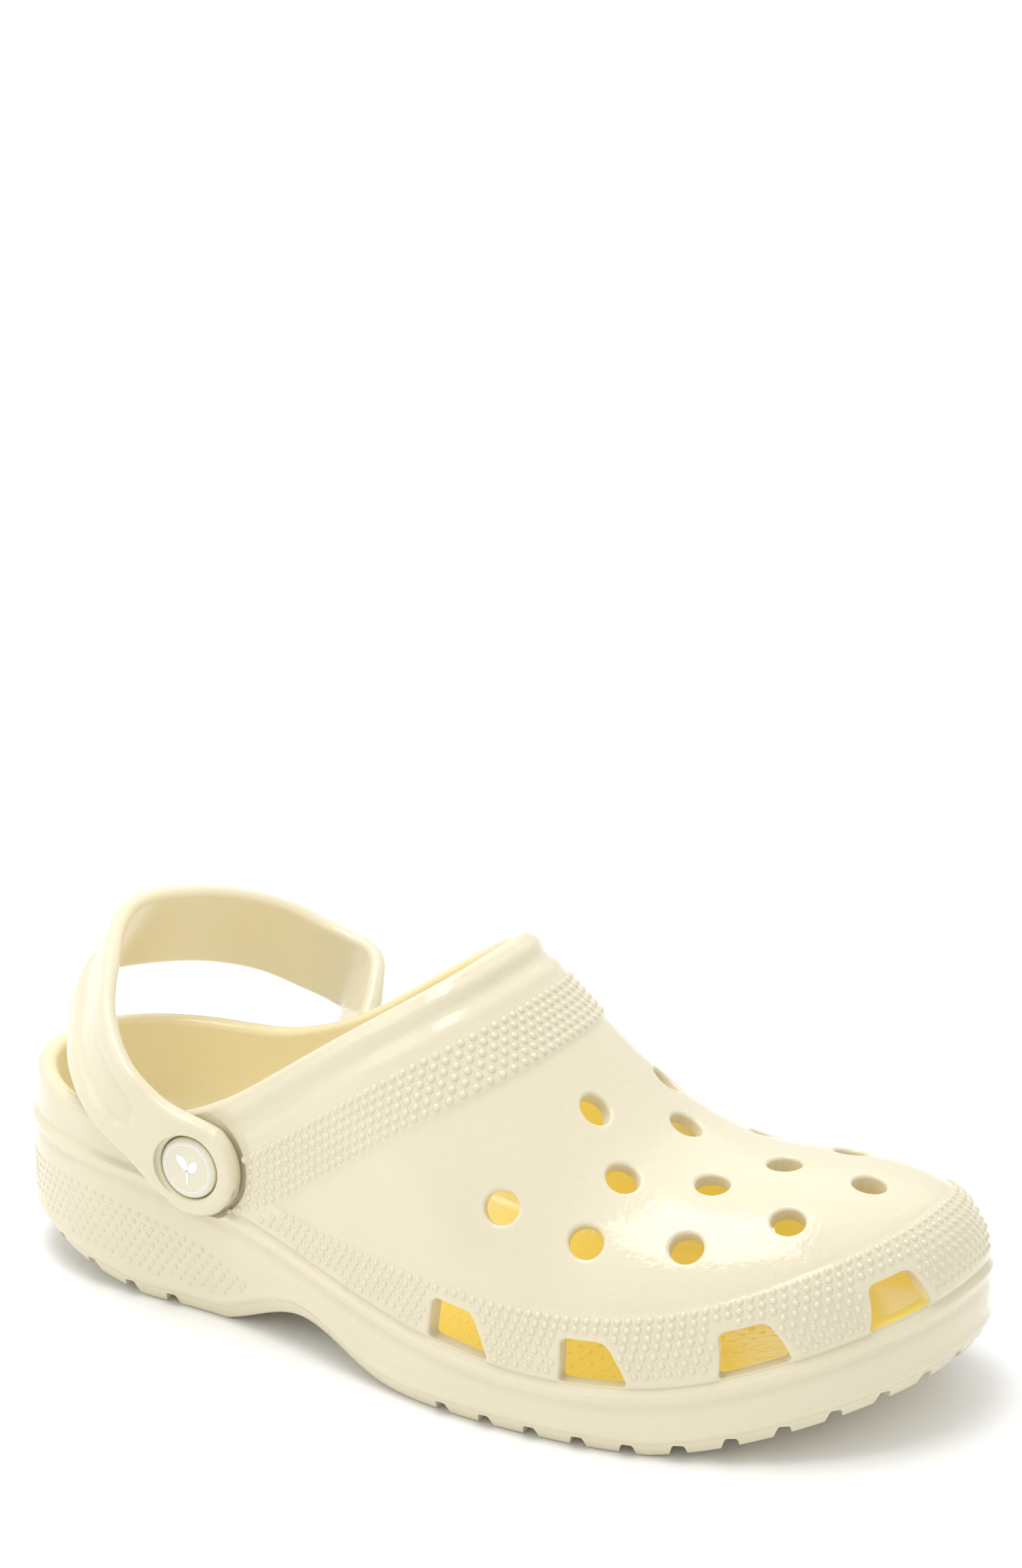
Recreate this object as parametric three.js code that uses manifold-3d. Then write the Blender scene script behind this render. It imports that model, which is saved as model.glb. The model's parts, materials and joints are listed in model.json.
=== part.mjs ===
// Moulded foam garden clog for the right foot: a one-piece shell with sole and upper, a heel strap that
// swings on two push-in rivets, and the caps that hold the rivets inside the shell.
// Millimetres. +X points to the toe, -Y to the outer (lateral) side of the foot and +Z up. The origin
// is on the ground under the middle of the clog.
import * as THREE from 'three';
import { mergeVertices } from 'three/addons/utils/BufferGeometryUtils.js';
import Module from 'manifold-3d';

const wasm = await Module();
wasm.setup();

// ---- Driving dimensions ----
const LENGTH = 280;             // heel to toe, over the sole
const BALL_WIDTH = 106;         // across the ball of the foot, inside the sole's ledge
const LEDGE = 1.6;              // how far the sole's side stands out from the upper
const UPPER_WALL = 4.2;         // foam thickness of the upper
const HEEL_WALL = 5.5;          // foam thickness of the heel cup
const COLLAR_LIP = 1;           // how far the rolled collar edge stands out
const RIM_ROUND = 2.2;          // rise of the rounded top of the opening's edge
const SOLE_EDGE_INSET = 2.5;    // how far the sole's bottom corner is drawn in
const FOOTBED_FILLET = 6;       // width of the hollow corner between wall and footbed

const TREAD_GROOVE = 3;         // width of a groove between tread blocks
const TREAD_DEPTH = 2.5;
const TREAD_PITCH = 14;

const VENT_DIAMETER = 9;        // round holes in the vamp
const PORT_BOTTOM = 19;         // drainage ports along the toe: lower and upper width, height
const PORT_TOP = 12;
const PORT_HEIGHT = 12.5;
const PORT_SILL = 1;            // height of a port's lower edge over the sole's ledge

const CLEARANCE = 0.3;          // gap between pieces that touch
const EAR_RADIUS = 14.5;        // round end of the strap
const EAR_THICKNESS = 6;
const STRAP_THICKNESS = 4.5;
const STRAP_ARM_WIDTH = 22;
const STRAP_BACK_WIDTH = 30;
const STRAP_REACH = 66;         // rivet axis to the middle of the strap's back
const STRAP_RAISE = 32;         // degrees above level, pointing back, at rest
const RIVET_HEIGHT = 45.5;        // rivet axis over the ground
const RIVET_STATION = -0.48;    // rivet axis along the clog, -1 at the heel to 1 at the toe
const RIVET_HEAD_RADIUS = 8.7;
const RIVET_HEAD_THICKNESS = 2.4;
const RIVET_HEAD_CROWN = 0.3;
const RIVET_POST_RADIUS = 3.2;
const RIVET_CAP_RADIUS = 7;
const RIVET_CAP_THICKNESS = 2;
const RIVET_WALL = 3.2;         // foam left between the ear's seat and the cap's seat

// ---- Mesh fineness ----
const COLUMNS = 64;             // strips round the clog, from the heel to the toe and back
const SKIN_ROWS = 12;           // rows from the sole's ledge to the opening's edge
const STRAP_STEPS = 34;
const ROUND = 16;               // sides of a small round hole

const half = LENGTH / 2 - LEDGE;
const widthScale = BALL_WIDTH / 106;

/** Smooth curve through [station, value] knots: a natural cubic spline, straight beyond its ends. */
function curveThrough(knots, scale = 1) {
  const x = knots.map(([station]) => station);
  const y = knots.map(([, value]) => value * scale);
  const last = x.length - 1;
  const bend = new Array(last + 1).fill(0);
  const share = new Array(last + 1).fill(0);
  for (let i = 1; i < last; i++) {
    const before = x[i] - x[i - 1];
    const after = x[i + 1] - x[i];
    const pivot = 2 * (before + after) - before * share[i - 1];
    const turn = 6 * ((y[i + 1] - y[i]) / after - (y[i] - y[i - 1]) / before);
    share[i] = after / pivot;
    bend[i] = (turn - before * bend[i - 1]) / pivot;
  }
  for (let i = last - 1; i > 0; i--) bend[i] -= share[i] * bend[i + 1];
  const slopeBefore = (y[1] - y[0]) / (x[1] - x[0]) - bend[1] * (x[1] - x[0]) / 6;
  const endStep = x[last] - x[last - 1];
  const slopeAfter = (y[last] - y[last - 1]) / endStep + bend[last - 1] * endStep / 6;
  return (station) => {
    const at = THREE.MathUtils.clamp(station, x[0], x[last]);
    const straight = (station - at) * (station < at ? slopeBefore : slopeAfter);
    let i = 0;
    while (i < last - 1 && at > x[i + 1]) i++;
    const h = x[i + 1] - x[i];
    const a = (x[i + 1] - at) / h;
    const b = 1 - a;
    const cubic = ((a ** 3 - a) * bend[i] + (b ** 3 - b) * bend[i + 1]) * h * h / 6;
    return a * y[i] + b * y[i + 1] + cubic + straight;
  };
}

// ---- Shape curves, by station along the clog: -1 at the heel, 1 at the toe ----
const axisY = curveThrough(
  [[-1, -1.3], [-0.67, 0.7], [-0.29, -3.3], [0.07, -6.3], [0.43, 0.7], [1, 14.7]], widthScale);
const lateralHalf = curveThrough(
  [[-1, 34], [-0.67, 39], [-0.43, 37.5], [-0.14, 42], [0.14, 50], [0.38, 55], [1, 53]], widthScale);
const medialHalf = curveThrough(
  [[-1, 34], [-0.67, 39.5], [-0.43, 37.5], [-0.14, 41], [0.14, 45], [0.38, 51], [1, 51]], widthScale);
const ledgeZ = curveThrough(
  [[-1, 41], [-0.67, 40], [-0.36, 32.5], [0, 23.5], [0.29, 18.5], [0.65, 22], [1, 39]]);
const ridgeZ = curveThrough(
  [[-1, 150], [-0.43, 140], [-0.14, 127], [0.04, 116], [0.22, 91], [0.43, 67], [0.65, 66.5], [1, 82]]);
const groundCurve = curveThrough([[-1, 11], [-0.8, 5.5], [-0.62, 0], [-0.43, 0], [-0.23, 9.5], [-0.04, 2],
  [0.14, 0], [0.43, -1.5], [0.69, 3], [1, 17]]);
const openingZ = curveThrough(
  [[-1, 53], [-0.8, 50], [-0.67, 50], [-0.54, 55], [-0.43, 62.5], [-0.29, 76], [-0.11, 94], [0.04, 108]]);
const footbedZ = curveThrough([[-1, 27], [-0.8, 24.5], [-0.58, 24], [-0.36, 24], [-0.14, 20.5], [0.07, 16],
  [0.36, 13.5], [0.65, 16], [1, 29]]);

const TOE_ROUND_FROM = 0.38;    // stations where the plan starts to close in
const HEEL_ROUND_FROM = -0.67;
const TOE_ROUND_POWER = 2.35;
const HEEL_ROUND_POWER = 2.2;
const PLAN_POWER = 2.4;         // squareness of the plan and of the dome's cross section
const DOME_POWER = 2.1;

const stationOf = (x) => x / half;
const soleZ = (station) => Math.max(0, groundCurve(station));

/** Share of the plan used up by the rounding of heel and toe: 0 amidships, 1 at the tips. */
function endRounding(station) {
  const toe = Math.max(0, (station - TOE_ROUND_FROM) / (1 - TOE_ROUND_FROM));
  const heel = Math.max(0, (HEEL_ROUND_FROM - station) / (1 + HEEL_ROUND_FROM));
  return toe ** TOE_ROUND_POWER + heel ** HEEL_ROUND_POWER;
}

/** Point of the upper's dome at a station and a share of the half width, -1 lateral to 1 medial. */
function domePoint(station, share) {
  const reach = endRounding(station) + Math.abs(share) ** PLAN_POWER;
  const width = share < 0 ? lateralHalf(station) : medialHalf(station);
  const rise = Math.max(0, 1 - reach) ** (1 / DOME_POWER);
  const z = ledgeZ(station) + (ridgeZ(station) - ledgeZ(station)) * rise;
  return new THREE.Vector3(station * half, axisY(station) + share * width, z);
}

/** Station and share of the half width of a point in plan. */
function sharesOf(x, y) {
  const station = stationOf(x);
  const off = y - axisY(station);
  return [station, off / (off < 0 ? lateralHalf(station) : medialHalf(station))];
}

/** Distance of the upper's outer face from the middle plane at a station and height; side is -1 or 1. */
function wallY(station, z, side) {
  const rise = Math.max(0, (z - ledgeZ(station)) / (ridgeZ(station) - ledgeZ(station))) ** DOME_POWER;
  const width = side < 0 ? lateralHalf(station) : medialHalf(station);
  return side * axisY(station) + width * (1 - endRounding(station) - rise) ** (1 / PLAN_POWER);
}

/** Points spread evenly along a chain of points. */
function resample(points, count, closed) {
  const chain = closed ? [...points, points[0]] : points;
  const run = [0];
  for (let i = 1; i < chain.length; i++) run.push(run[i - 1] + chain[i].distanceTo(chain[i - 1]));
  const steps = closed ? count : count - 1;
  const result = [];
  for (let k = 0, i = 0; k < count; k++) {
    const want = run[run.length - 1] * k / steps;
    while (i < chain.length - 2 && run[i + 1] < want) i++;
    const part = (want - run[i]) / (run[i + 1] - run[i]);
    result.push(chain[i].clone().lerp(chain[i + 1], Math.min(1, part)));
  }
  return result;
}

/** Outline of the sole's ledge in plan, from the heel along the lateral side to the toe and back. */
function ledgeOutline() {
  const steps = 240;
  const sides = [[], []];
  for (let k = 0; k <= steps; k++) {
    const s = -Math.cos(Math.PI * k / steps);
    const spread = Math.max(0, 1 - endRounding(s)) ** (1 / PLAN_POWER);
    sides[0].push(new THREE.Vector3(s * half, axisY(s) - lateralHalf(s) * spread, 0));
    sides[1].unshift(new THREE.Vector3(s * half, axisY(s) + medialHalf(s) * spread, 0));
  }
  return resample([...sides[0], ...sides[1].slice(1, -1)], COLUMNS, true);
}

const OPENING_FOCUS = -0.33;    // station in the opening that all strips run towards

/** One strip of the upper's outer face, from the sole's ledge to the opening's edge. */
function skinStrip(start) {
  const [station, share] = sharesOf(start.x, start.y);
  const pointAt = (part) => domePoint(THREE.MathUtils.lerp(station, OPENING_FOCUS, part), share * (1 - part));
  const isBelowEdge = (part) => {
    const p = pointAt(part);
    return p.z < openingZ(stationOf(p.x));
  };
  const step = 0.01;
  let low = 0;
  while (isBelowEdge(low + step)) low += step;
  let high = low + step;
  for (let k = 0; k < 24; k++) {
    const middle = (low + high) / 2;
    if (isBelowEdge(middle)) low = middle;
    else high = middle;
  }
  const samples = 300;
  const crowding = 3;           // crowds the samples at the ledge, where the wall is steep
  const points = Array.from({ length: samples + 1 }, (_, k) => pointAt(low * (k / samples) ** crowding));
  points[0].z = ledgeZ(station);
  return resample(points, SKIN_ROWS, false);
}

/** Solid from position and triangle lists. */
function solidOf(vertProperties, triVerts) {
  const mesh = new wasm.Mesh({
    numProp: 3,
    vertProperties: Float32Array.from(vertProperties),
    triVerts: Uint32Array.from(triVerts),
  });
  return new wasm.Manifold(mesh);
}

/** Solid from a closed three.js geometry. */
function solidFrom(geometry) {
  const bare = geometry.clone();
  bare.deleteAttribute('normal');
  bare.deleteAttribute('uv');
  const merged = mergeVertices(bare, 1e-4);
  return solidOf(merged.attributes.position.array, merged.index.array);
}

/** Solid skinned over rings of points; the first and last ring are closed by the two cap functions. */
function solidOverRings(rings, closeRing) {
  const count = rings[0].length;
  const triangles = [];
  for (let j = 0; j < rings.length - 1; j++) {
    for (let i = 0; i < count; i++) {
      const a = j * count + i;
      const b = j * count + (i + 1) % count;
      triangles.push(a, b, b + count, a, b + count, a + count);
    }
  }
  const top = (rings.length - 1) * count;
  for (const [a, b, c] of closeRing(count)) {
    triangles.push(c, b, a);
    triangles.push(top + a, top + b, top + c);
  }
  return solidOf(rings.flat().flatMap((p) => [p.x, p.y, p.z]), triangles);
}

/** Triangles that close a ring by zipping its first half to its second, straight across. */
function zipAcross(count) {
  const result = [[0, 1, count - 1]];
  for (let i = 1; i < count / 2 - 1; i++) {
    const opposite = count - i;
    result.push([i, i + 1, opposite], [i + 1, opposite - 1, opposite]);
  }
  result.push([count / 2 - 1, count / 2, count / 2 + 1]);
  return result;
}

// ---- Rivet seats: the ears, rivets and caps are all placed from these ----
const rivetX = RIVET_STATION * half;
const seatSink = 0.6;           // the ear's flat seat is let this far into the curved wall
const seatY = (side) => wallY(RIVET_STATION, RIVET_HEIGHT, side) - seatSink;
const earInner = (side) => seatY(side) + CLEARANCE;
const earOuter = (side) => earInner(side) + EAR_THICKNESS;

/** Cylinder along Y round the rivet axis, between two distances from the middle plane, on one side. */
function rivetDisc(radius, from, to, side, sides = 2 * ROUND) {
  const disc = new THREE.CylinderGeometry(radius, radius, to - from, sides);
  disc.translate(rivetX, side * (from + to) / 2, 0);
  disc.translate(0, 0, RIVET_HEIGHT);
  return solidFrom(disc);
}

// ---- Shell ----
const VENTS = [                 // centres: station, share of the half width (negative is lateral)
  [0.25, -0.84], [0.315, -0.235], [0.32, 0.47], [0.41, -0.77], [0.415, -0.45], [0.42, 0.14], [0.51, 0.5],
  [0.555, -0.28], [0.585, -0.67], [0.635, 0.02], [0.7, 0.37], [0.735, -0.45], [0.81, -0.03],
];
const PORT_TURNS = [-144, -104.5, -62, -22.5, 31, 72, 113];   // ports' places along the ledge from the toe
const TREAD_SPANS = [[-0.88, -0.42], [0, 0.92]];        // heel and forefoot tread, by station

/** Round cutters for the vamp's vents, each square to the upper. */
function ventCutters() {
  const step = 0.01;
  return VENTS.map(([station, share]) => {
    const along = domePoint(station + step, share).sub(domePoint(station - step, share));
    const across = domePoint(station, share + step).sub(domePoint(station, share - step));
    const up = along.cross(across).normalize();
    const depth = 4 * UPPER_WALL;
    const drill = new THREE.CylinderGeometry(VENT_DIAMETER / 2, VENT_DIAMETER / 2, depth, ROUND);
    drill.applyQuaternion(new THREE.Quaternion().setFromUnitVectors(new THREE.Vector3(0, 1, 0), up));
    const { x, y, z } = domePoint(station, share);
    drill.translate(x, y, z);
    return solidFrom(drill);
  });
}

/** Tapered cutters for the ports in the toe's wall, square to the outline. */
function portCutters(outline, inwards) {
  const toe = COLUMNS / 2;
  const spacing = outline[toe].distanceTo(outline[toe + 1]);
  const face = new THREE.Shape([
    new THREE.Vector2(-PORT_BOTTOM / 2, 0), new THREE.Vector2(PORT_BOTTOM / 2, 0),
    new THREE.Vector2(PORT_TOP / 2, PORT_HEIGHT), new THREE.Vector2(-PORT_TOP / 2, PORT_HEIGHT),
  ]);
  const depth = 5 * UPPER_WALL;
  return PORT_TURNS.map((turn) => {
    const place = toe + turn / spacing;
    const i = Math.floor(place);
    const at = outline[i].clone().lerp(outline[i + 1], place - i);
    const inward = inwards[i].clone().lerp(inwards[i + 1], place - i).normalize();
    const cutter = new THREE.ExtrudeGeometry(face, { depth, bevelEnabled: false });
    cutter.translate(0, 0, -2 * UPPER_WALL);
    const up = new THREE.Vector3(0, 0, 1);
    cutter.applyMatrix4(new THREE.Matrix4().makeBasis(up.clone().cross(inward), up, inward));
    cutter.translate(at.x, at.y, ledgeZ(stationOf(at.x)) + PORT_SILL);
    return solidFrom(cutter);
  });
}

/** Cross grooves that part the tread into blocks. */
function treadCutters() {
  const cutters = [];
  for (const [from, to] of TREAD_SPANS) {
    const count = Math.round((to - from) * half / TREAD_PITCH);
    for (let k = 0; k <= count; k++) {
      const station = from + (to - from) * k / count;
      const slope = Math.atan2(soleZ(station + 0.01) - soleZ(station - 0.01), 0.02 * half);
      const groove = new THREE.BoxGeometry(TREAD_GROOVE, 2 * BALL_WIDTH, 2 * TREAD_DEPTH);
      groove.rotateY(-slope);
      groove.translate(station * half, 0, soleZ(station));
      cutters.push(solidFrom(groove));
    }
  }
  return cutters;
}

function makeShell() {
  const outline = ledgeOutline();
  const at = (i) => (i + COLUMNS) % COLUMNS;
  const inwards = outline.map((_, i) => {
    const along = outline[at(i + 1)].clone().sub(outline[at(i - 1)]).normalize();
    return new THREE.Vector3(-along.y, along.x, 0);
  });
  const strips = outline.map(skinStrip);

  const normalAt = (i, j) => {
    if (j === 0) return inwards[i].clone().negate();
    const across = strips[at(i + 1)][j].clone().sub(strips[at(i - 1)][j]);
    const up = strips[i][Math.min(j + 1, SKIN_ROWS - 1)].clone().sub(strips[i][j - 1]);
    return across.cross(up).normalize();
  };
  const wallAt = (i) => {
    const station = stationOf(outline[i].x);
    return THREE.MathUtils.lerp(HEEL_WALL, UPPER_WALL, THREE.MathUtils.smoothstep(station, -0.7, -0.45));
  };
  const ringOf = (pointAt) => outline.map((_, i) => pointAt(i));
  const sideRing = (outset, share, lift = 0) => ringOf((i) => {
    const p = outline[i].clone().addScaledVector(inwards[i], -outset);
    const station = stationOf(outline[i].x);
    p.z = THREE.MathUtils.lerp(soleZ(station), ledgeZ(station), share) + lift;
    return p;
  });

  const rings = [
    sideRing(-SOLE_EDGE_INSET, 0),
    sideRing(LEDGE / 2, 0, 2),
    sideRing(LEDGE, 0.3),
    sideRing(LEDGE, 1, -1),
    sideRing(LEDGE / 2, 1, -0.3),
  ];
  const lipRows = SKIN_ROWS - 2;
  for (let j = 0; j < SKIN_ROWS; j++) {
    const lip = j > lipRows ? COLLAR_LIP : 0;
    rings.push(ringOf((i) => strips[i][j].clone().addScaledVector(normalAt(i, j), lip)));
  }
  const last = SKIN_ROWS - 1;
  const rimPoint = (i, depth, rise) => {
    const up = strips[i][last].clone().sub(strips[i][last - 1]).normalize();
    return strips[i][last].clone().addScaledVector(normalAt(i, last), -depth).addScaledVector(up, rise);
  };
  rings.push(ringOf((i) => rimPoint(i, wallAt(i) * 0.15, RIM_ROUND * 0.8)));
  rings.push(ringOf((i) => rimPoint(i, wallAt(i) * 0.5, RIM_ROUND)));
  rings.push(ringOf((i) => rimPoint(i, wallAt(i) * 0.85, RIM_ROUND * 0.6)));
  for (let j = last; j >= 0; j--) {
    rings.push(ringOf((i) => strips[i][j].clone().addScaledVector(normalAt(i, j), -wallAt(i))));
  }
  const footbedRing = (inset, share) => ringOf((i) => {
    const p = outline[i].clone().addScaledVector(inwards[i], wallAt(i) + inset);
    const station = stationOf(outline[i].x);
    p.z = THREE.MathUtils.lerp(footbedZ(station), ledgeZ(station), share);
    return p;
  });
  rings.push(footbedRing(FOOTBED_FILLET * 0.1, 0.5));
  rings.push(footbedRing(FOOTBED_FILLET * 0.35, 0.15));
  rings.push(footbedRing(FOOTBED_FILLET, 0));

  let shell = solidOverRings(rings, zipAcross);
  for (const side of [-1, 1]) {
    const seat = seatY(side);
    const deep = 3 * EAR_RADIUS;
    const seatCut = rivetDisc(EAR_RADIUS + 3 * CLEARANCE, seat, seat + EAR_THICKNESS, side);
    const capCut = rivetDisc(RIVET_CAP_RADIUS + CLEARANCE, seat - RIVET_WALL - 2 * RIVET_CAP_THICKNESS,
      seat - RIVET_WALL, side);
    const postCut = rivetDisc(RIVET_POST_RADIUS + CLEARANCE, seat - deep / 3, seat + deep / 3, side, ROUND);
    shell = shell.subtract(seatCut).subtract(capCut).subtract(postCut);
  }
  for (const cutter of [...ventCutters(), ...portCutters(outline, inwards), ...treadCutters()]) {
    shell = shell.subtract(cutter);
  }
  return shell;
}

// ---- Heel strap ----
// Its middle line from the lateral ear round the back to the medial ear: share of the reach from the
// rivet axis, share of that side's ear distance, and rise out of the strap's plane as a share of the reach.
// Both arms bow outwards. The medial one bows more, and leaves its ear more steeply.
const STRAP_LINE = [
  [0, -1, 0], [0.12, -1.04, 0], [0.28, -1.06, 0], [0.47, -1.02, 0], [0.69, -0.79, 0],
  [0.88, -0.4, 0], [1.02, -0.04, 0], [1.06, 0.26, 0], [0.98, 0.67, 0.02], [0.83, 1.1, 0.04],
  [0.66, 1.34, 0.065], [0.5, 1.43, 0.09], [0.36, 1.45, 0.13], [0.25, 1.4, 0.17], [0.15, 1.2, 0.15],
  [0.07, 1.03, 0.07], [0, 1, 0],
];

function makeStrap() {
  const raise = THREE.MathUtils.degToRad(STRAP_RAISE);
  const back = new THREE.Vector3(-Math.cos(raise), 0, Math.sin(raise));
  const normal = new THREE.Vector3(Math.sin(raise), 0, Math.cos(raise));
  const pivot = new THREE.Vector3(rivetX, 0, RIVET_HEIGHT);
  const middleOfEar = (side) => (earInner(side) + earOuter(side)) / 2;
  const line = new THREE.CatmullRomCurve3(STRAP_LINE.map(([reach, share, rise]) => {
    const p = pivot.clone().addScaledVector(back, reach * STRAP_REACH);
    p.addScaledVector(normal, rise * STRAP_REACH);
    p.y = share * middleOfEar(Math.sign(share) || 1);
    return p;
  }), false, 'centripetal');
  const points = line.getSpacedPoints(STRAP_STEPS);
  const rings = points.map((p, k) => {
    const before = points[Math.max(0, k - 1)];
    const along = points[Math.min(STRAP_STEPS, k + 1)].clone().sub(before).normalize();
    const across = normal.clone().addScaledVector(along, -normal.dot(along)).normalize();
    const outward = along.clone().cross(across).normalize().negate();
    const reach = p.clone().sub(pivot).dot(back) / STRAP_REACH;
    const w = THREE.MathUtils.lerp(STRAP_ARM_WIDTH, STRAP_BACK_WIDTH, reach ** 2) / 2;
    const t = STRAP_THICKNESS / 2;
    const round = 0.4 * t;
    const section = [
      [-t, -w + round], [-t + round, -w], [t - round, -w], [t, -w + round],
      [t, w - round], [t - round, w], [-t + round, w], [-t, w - round],
    ];
    return section.map(([out, up]) => p.clone().addScaledVector(outward, out).addScaledVector(across, up));
  });
  const fan = (count) => Array.from({ length: count - 2 }, (_, i) => [0, i + 1, i + 2]);
  let strap = solidOverRings(rings, fan);
  for (const side of [-1, 1]) {
    const inner = earInner(side);
    const outer = earOuter(side);
    const floor = outer - RIVET_HEAD_THICKNESS - CLEARANCE;
    strap = strap.add(rivetDisc(EAR_RADIUS, inner, outer, side));
    strap = strap.subtract(rivetDisc(EAR_RADIUS, inner - EAR_THICKNESS, inner, side));
    strap = strap.subtract(rivetDisc(RIVET_POST_RADIUS + CLEARANCE, inner - 1, outer + 1, side, ROUND));
    strap = strap.subtract(rivetDisc(RIVET_HEAD_RADIUS + CLEARANCE, floor, outer + EAR_THICKNESS, side));
  }
  return strap;
}

// ---- Rivets ----
/** Turned piece on the rivet axis; its profile is [radius, distance from the middle plane]. */
function turnedOnRivet(profile, side) {
  const points = profile.map(([radius, reach]) => new THREE.Vector2(radius, reach));
  const piece = new THREE.LatheGeometry(points, 2 * ROUND);
  if (side < 0) piece.rotateX(Math.PI);
  piece.translate(rivetX, 0, RIVET_HEIGHT);
  return solidFrom(piece);
}

function makeRivetButton(side) {
  const face = earOuter(side);
  const under = face - RIVET_HEAD_THICKNESS;
  const tip = seatY(side) - RIVET_WALL - RIVET_CAP_THICKNESS;
  return turnedOnRivet([
    [0, tip], [RIVET_POST_RADIUS, tip], [RIVET_POST_RADIUS, under], [RIVET_HEAD_RADIUS, under],
    [RIVET_HEAD_RADIUS, face - RIVET_HEAD_CROWN], [RIVET_HEAD_RADIUS - 0.6, face],
    [RIVET_HEAD_RADIUS / 2, face + RIVET_HEAD_CROWN], [0, face + RIVET_HEAD_CROWN],
  ], side);
}

function makeRivetCap(side) {
  const outer = seatY(side) - RIVET_WALL - CLEARANCE;
  const inner = outer - RIVET_CAP_THICKNESS;
  const bore = RIVET_POST_RADIUS + CLEARANCE;
  return turnedOnRivet([
    [bore, inner], [RIVET_CAP_RADIUS - 0.6, inner], [RIVET_CAP_RADIUS, inner + 0.6],
    [RIVET_CAP_RADIUS, outer], [bore, outer], [bore, inner],
  ], side);
}

// ---- Assembly ----
const foam = { color: 0xf4e7bb, roughness: 0.3, metalness: 0 };
const group = new THREE.Group();

function addPiece(name, solid, finish = foam) {
  const { numProp, vertProperties, triVerts } = solid.getMesh();
  const geometry = new THREE.BufferGeometry();
  const positions = new Float32Array(vertProperties.length / numProp * 3);
  for (let v = 0; v < positions.length / 3; v++) {
    positions.set(vertProperties.subarray(v * numProp, v * numProp + 3), v * 3);
  }
  geometry.setAttribute('position', new THREE.BufferAttribute(positions, 3));
  geometry.setIndex([...triVerts]);
  geometry.computeVertexNormals();
  const mesh = new THREE.Mesh(geometry, new THREE.MeshStandardMaterial(finish));
  mesh.name = name;
  group.add(mesh);
}

addPiece('clog_shell', makeShell());
addPiece('heel_strap', makeStrap());
for (const [label, side] of [['lateral', -1], ['medial', 1]]) {
  addPiece(`rivet_button_${label}`, makeRivetButton(side));
  addPiece(`rivet_cap_${label}`, makeRivetCap(side));
}

export default group;
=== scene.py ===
"""The looks of a moulded foam garden clog: a one-piece shell, a swinging heel strap and its two rivets."""
import json
import math

import bpy
import numpy as np
from bpy.props import FloatProperty, FloatVectorProperty, IntProperty, PointerProperty
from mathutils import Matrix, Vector


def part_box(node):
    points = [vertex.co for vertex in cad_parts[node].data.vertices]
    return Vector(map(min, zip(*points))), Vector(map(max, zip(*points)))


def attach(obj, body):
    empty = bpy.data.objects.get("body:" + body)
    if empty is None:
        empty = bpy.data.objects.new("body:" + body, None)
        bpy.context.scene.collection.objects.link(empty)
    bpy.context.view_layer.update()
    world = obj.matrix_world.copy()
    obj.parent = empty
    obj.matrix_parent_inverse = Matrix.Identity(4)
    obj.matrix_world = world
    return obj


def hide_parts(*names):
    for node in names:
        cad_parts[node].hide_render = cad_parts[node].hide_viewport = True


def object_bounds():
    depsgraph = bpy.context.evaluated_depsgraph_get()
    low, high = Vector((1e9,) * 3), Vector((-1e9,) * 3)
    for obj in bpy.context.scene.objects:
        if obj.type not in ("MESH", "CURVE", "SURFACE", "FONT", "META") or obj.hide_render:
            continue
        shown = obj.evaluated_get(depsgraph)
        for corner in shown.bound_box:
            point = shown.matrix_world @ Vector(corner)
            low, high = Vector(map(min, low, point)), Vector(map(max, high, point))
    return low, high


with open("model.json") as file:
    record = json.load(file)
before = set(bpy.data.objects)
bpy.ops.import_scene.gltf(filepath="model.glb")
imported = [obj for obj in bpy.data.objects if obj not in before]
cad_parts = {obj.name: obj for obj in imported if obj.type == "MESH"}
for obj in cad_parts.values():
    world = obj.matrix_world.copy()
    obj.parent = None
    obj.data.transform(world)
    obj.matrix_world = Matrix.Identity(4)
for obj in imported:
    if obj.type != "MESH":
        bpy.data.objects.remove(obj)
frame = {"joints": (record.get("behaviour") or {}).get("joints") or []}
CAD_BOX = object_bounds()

bl_info = {
    "name": "Garden Clog",
    "version": (1, 0, 0),
    "blender": (4, 5, 0),
    "location": "View3D > Sidebar > Clog",
    "description": "Models the foam shell, heel strap and rivets of a garden clog round its CAD frame",
    "category": "Object",
}

MM = 0.001
LATERAL, MEDIAL = -1, 1
SIDES = (("lateral", LATERAL), ("medial", MEDIAL))

# Fit of the strap's ears and the rivets, in millimetres.
EAR_RADIUS = 14.5
EAR_THICKNESS = 6.0
HEAD_RADIUS = 8.7
HEAD_THICKNESS = 2.4
POST_RADIUS = 3.2
CAP_RADIUS = 7.0
CLEARANCE = 0.3
BORE_RADIUS = POST_RADIUS + CLEARANCE
PRINT_ROOT = 0.3    # how deep the print is rooted in the button
PRINT_RISE = 0.06


# ---- Sizes and colours a user would change ----
def length(name, text, value):
    """A size in metres, written here in millimetres."""
    return FloatProperty(name=name, description=text, default=value * MM, unit="LENGTH", precision=5)


def colour(name, text, value):
    """A linear colour."""
    return FloatVectorProperty(name=name, description=text, default=value, size=3, subtype="COLOR",
                               min=0, max=1)


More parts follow.
